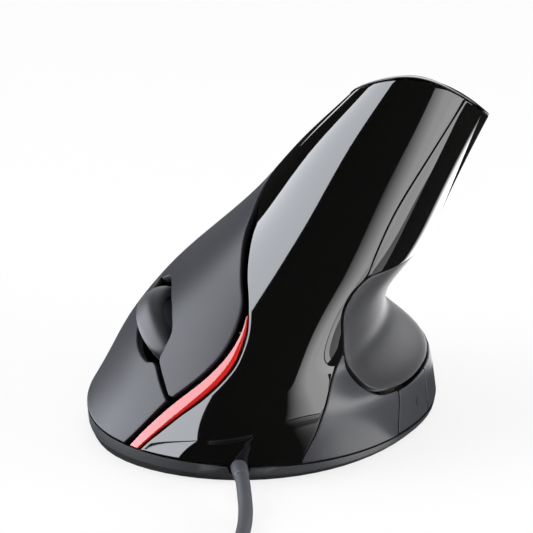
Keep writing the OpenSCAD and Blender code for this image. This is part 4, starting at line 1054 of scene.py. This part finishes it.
def around(azimuth, elevation, distance):
    """A place seen from the mouse in this direction, at this distance."""
    return direction(azimuth, elevation) * distance + STAND


def on_floor(azimuth, distance, layer=1):
    """A place on the floor; a higher layer lies over a lower one."""
    place = direction(azimuth, 0) * distance
    return Vector((place.x, place.y, FLOOR_Z + FLOOR_GAP + LAYER * layer))


def standing(azimuths, elevations, distance):
    (a, b), (low, high) = azimuths, elevations
    return [around(*at, distance) for at in ((a, low), (b, low), (b, high), (a, high))]


def lying(azimuths, distances):
    (a, b), (near, far) = azimuths, distances
    return [on_floor(*at) for at in ((a, near), (b, near), (b, far), (a, far))]


def pane(name, corners, strength, colour=WHITE, fade=0):
    """A glowing sheet that only shows in reflections, dimmer towards its first side by fade."""

    def surface(graph):
        width = graph.node("SeparateXYZ", {}, [graph.node("TexCoord", output="UV")])
        ramp = graph.node("MapRange", {}, {"Value": width, "From Max": max(fade, LEAST_FADE),
                                           "To Max": strength})
        return graph.node("Emission", {}, {"Color": colour, "Strength": ramp})

    thing = card(name, corners, plain(name, surface))
    for kind in ("camera", "diffuse", "shadow", "transmission", "volume_scatter"):
        setattr(thing, "visible_" + kind, False)


LEFT, RIGHT, REAR, LEFT_GLOW = (-28, -112), (26, 86), (150, 210), 5.4
pane("left_panel", [around(LEFT[0], SKIRT, 0.8), around(LEFT[1], SKIRT, 0.8),
                    around(LEFT[1], 52, 0.8), around(-48, 58, 0.8)], LEFT_GLOW, COOL)
pane("left_floor", [on_floor(LEFT[0], 0.085), on_floor(LEFT[0], 0.8), on_floor(LEFT[1], 0.8),
                    on_floor(LEFT[1], 0.1)], LEFT_GLOW, COOL)
pane("right_panel", standing(RIGHT, (SKIRT, 20), 0.7), 3.3, fade=0.45)
pane("right_far_floor", lying(RIGHT, (0.26, 0.8)), 3, fade=0.45)
pane("right_near_floor", lying(RIGHT, (0.12, 0.26)), 0.8, fade=0.3)
pane("right_inner_floor", [on_floor(20, 0.05), on_floor(64, 0.04), on_floor(64, 0.12),
                           on_floor(26, 0.12)], 1.3, fade=0.4)
pane("right_low_panel", standing((60, 112), (SKIRT, 6), 0.45), 3.5)
pane("right_rear_floor", lying((130, 195), (0.07, 0.2)), 3.2, fade=0.2)
pane("rear_panel", standing(REAR, (5, 45), 0.9), 1.5)
for azimuth in range(0, 360, 45):
    pane("dark_wall", standing((azimuth - 25, azimuth + 25), (SKIRT, 60), 2.1), DARK)
pane("dark_ceiling", square(2, 1.5), DARK)
pane("dark_floor", [on_floor(azimuth, 3, 0) for azimuth in (0, 90, 180, 270)], DARK)

# %% [markdown]
# The world is white to the eye. It lights the mouse at about half strength, like a pale room, so
# that the lamps can still model its form.

# %% World
AMBIENT = 0.55
world = bpy.data.worlds.new("studio_world")
bpy.context.scene.world = world
world.use_nodes = True
graph, background = Graph(world.node_tree), world.node_tree.nodes["Background"]
graph.plug(background.inputs["Color"], WHITE)
graph.plug(background.inputs["Strength"], AMBIENT + (1 - AMBIENT) * seen_directly(graph))
bpy.context.scene.view_settings.view_transform = "Standard"
print("world", AMBIENT, "for the mouse and 1 for the eye")
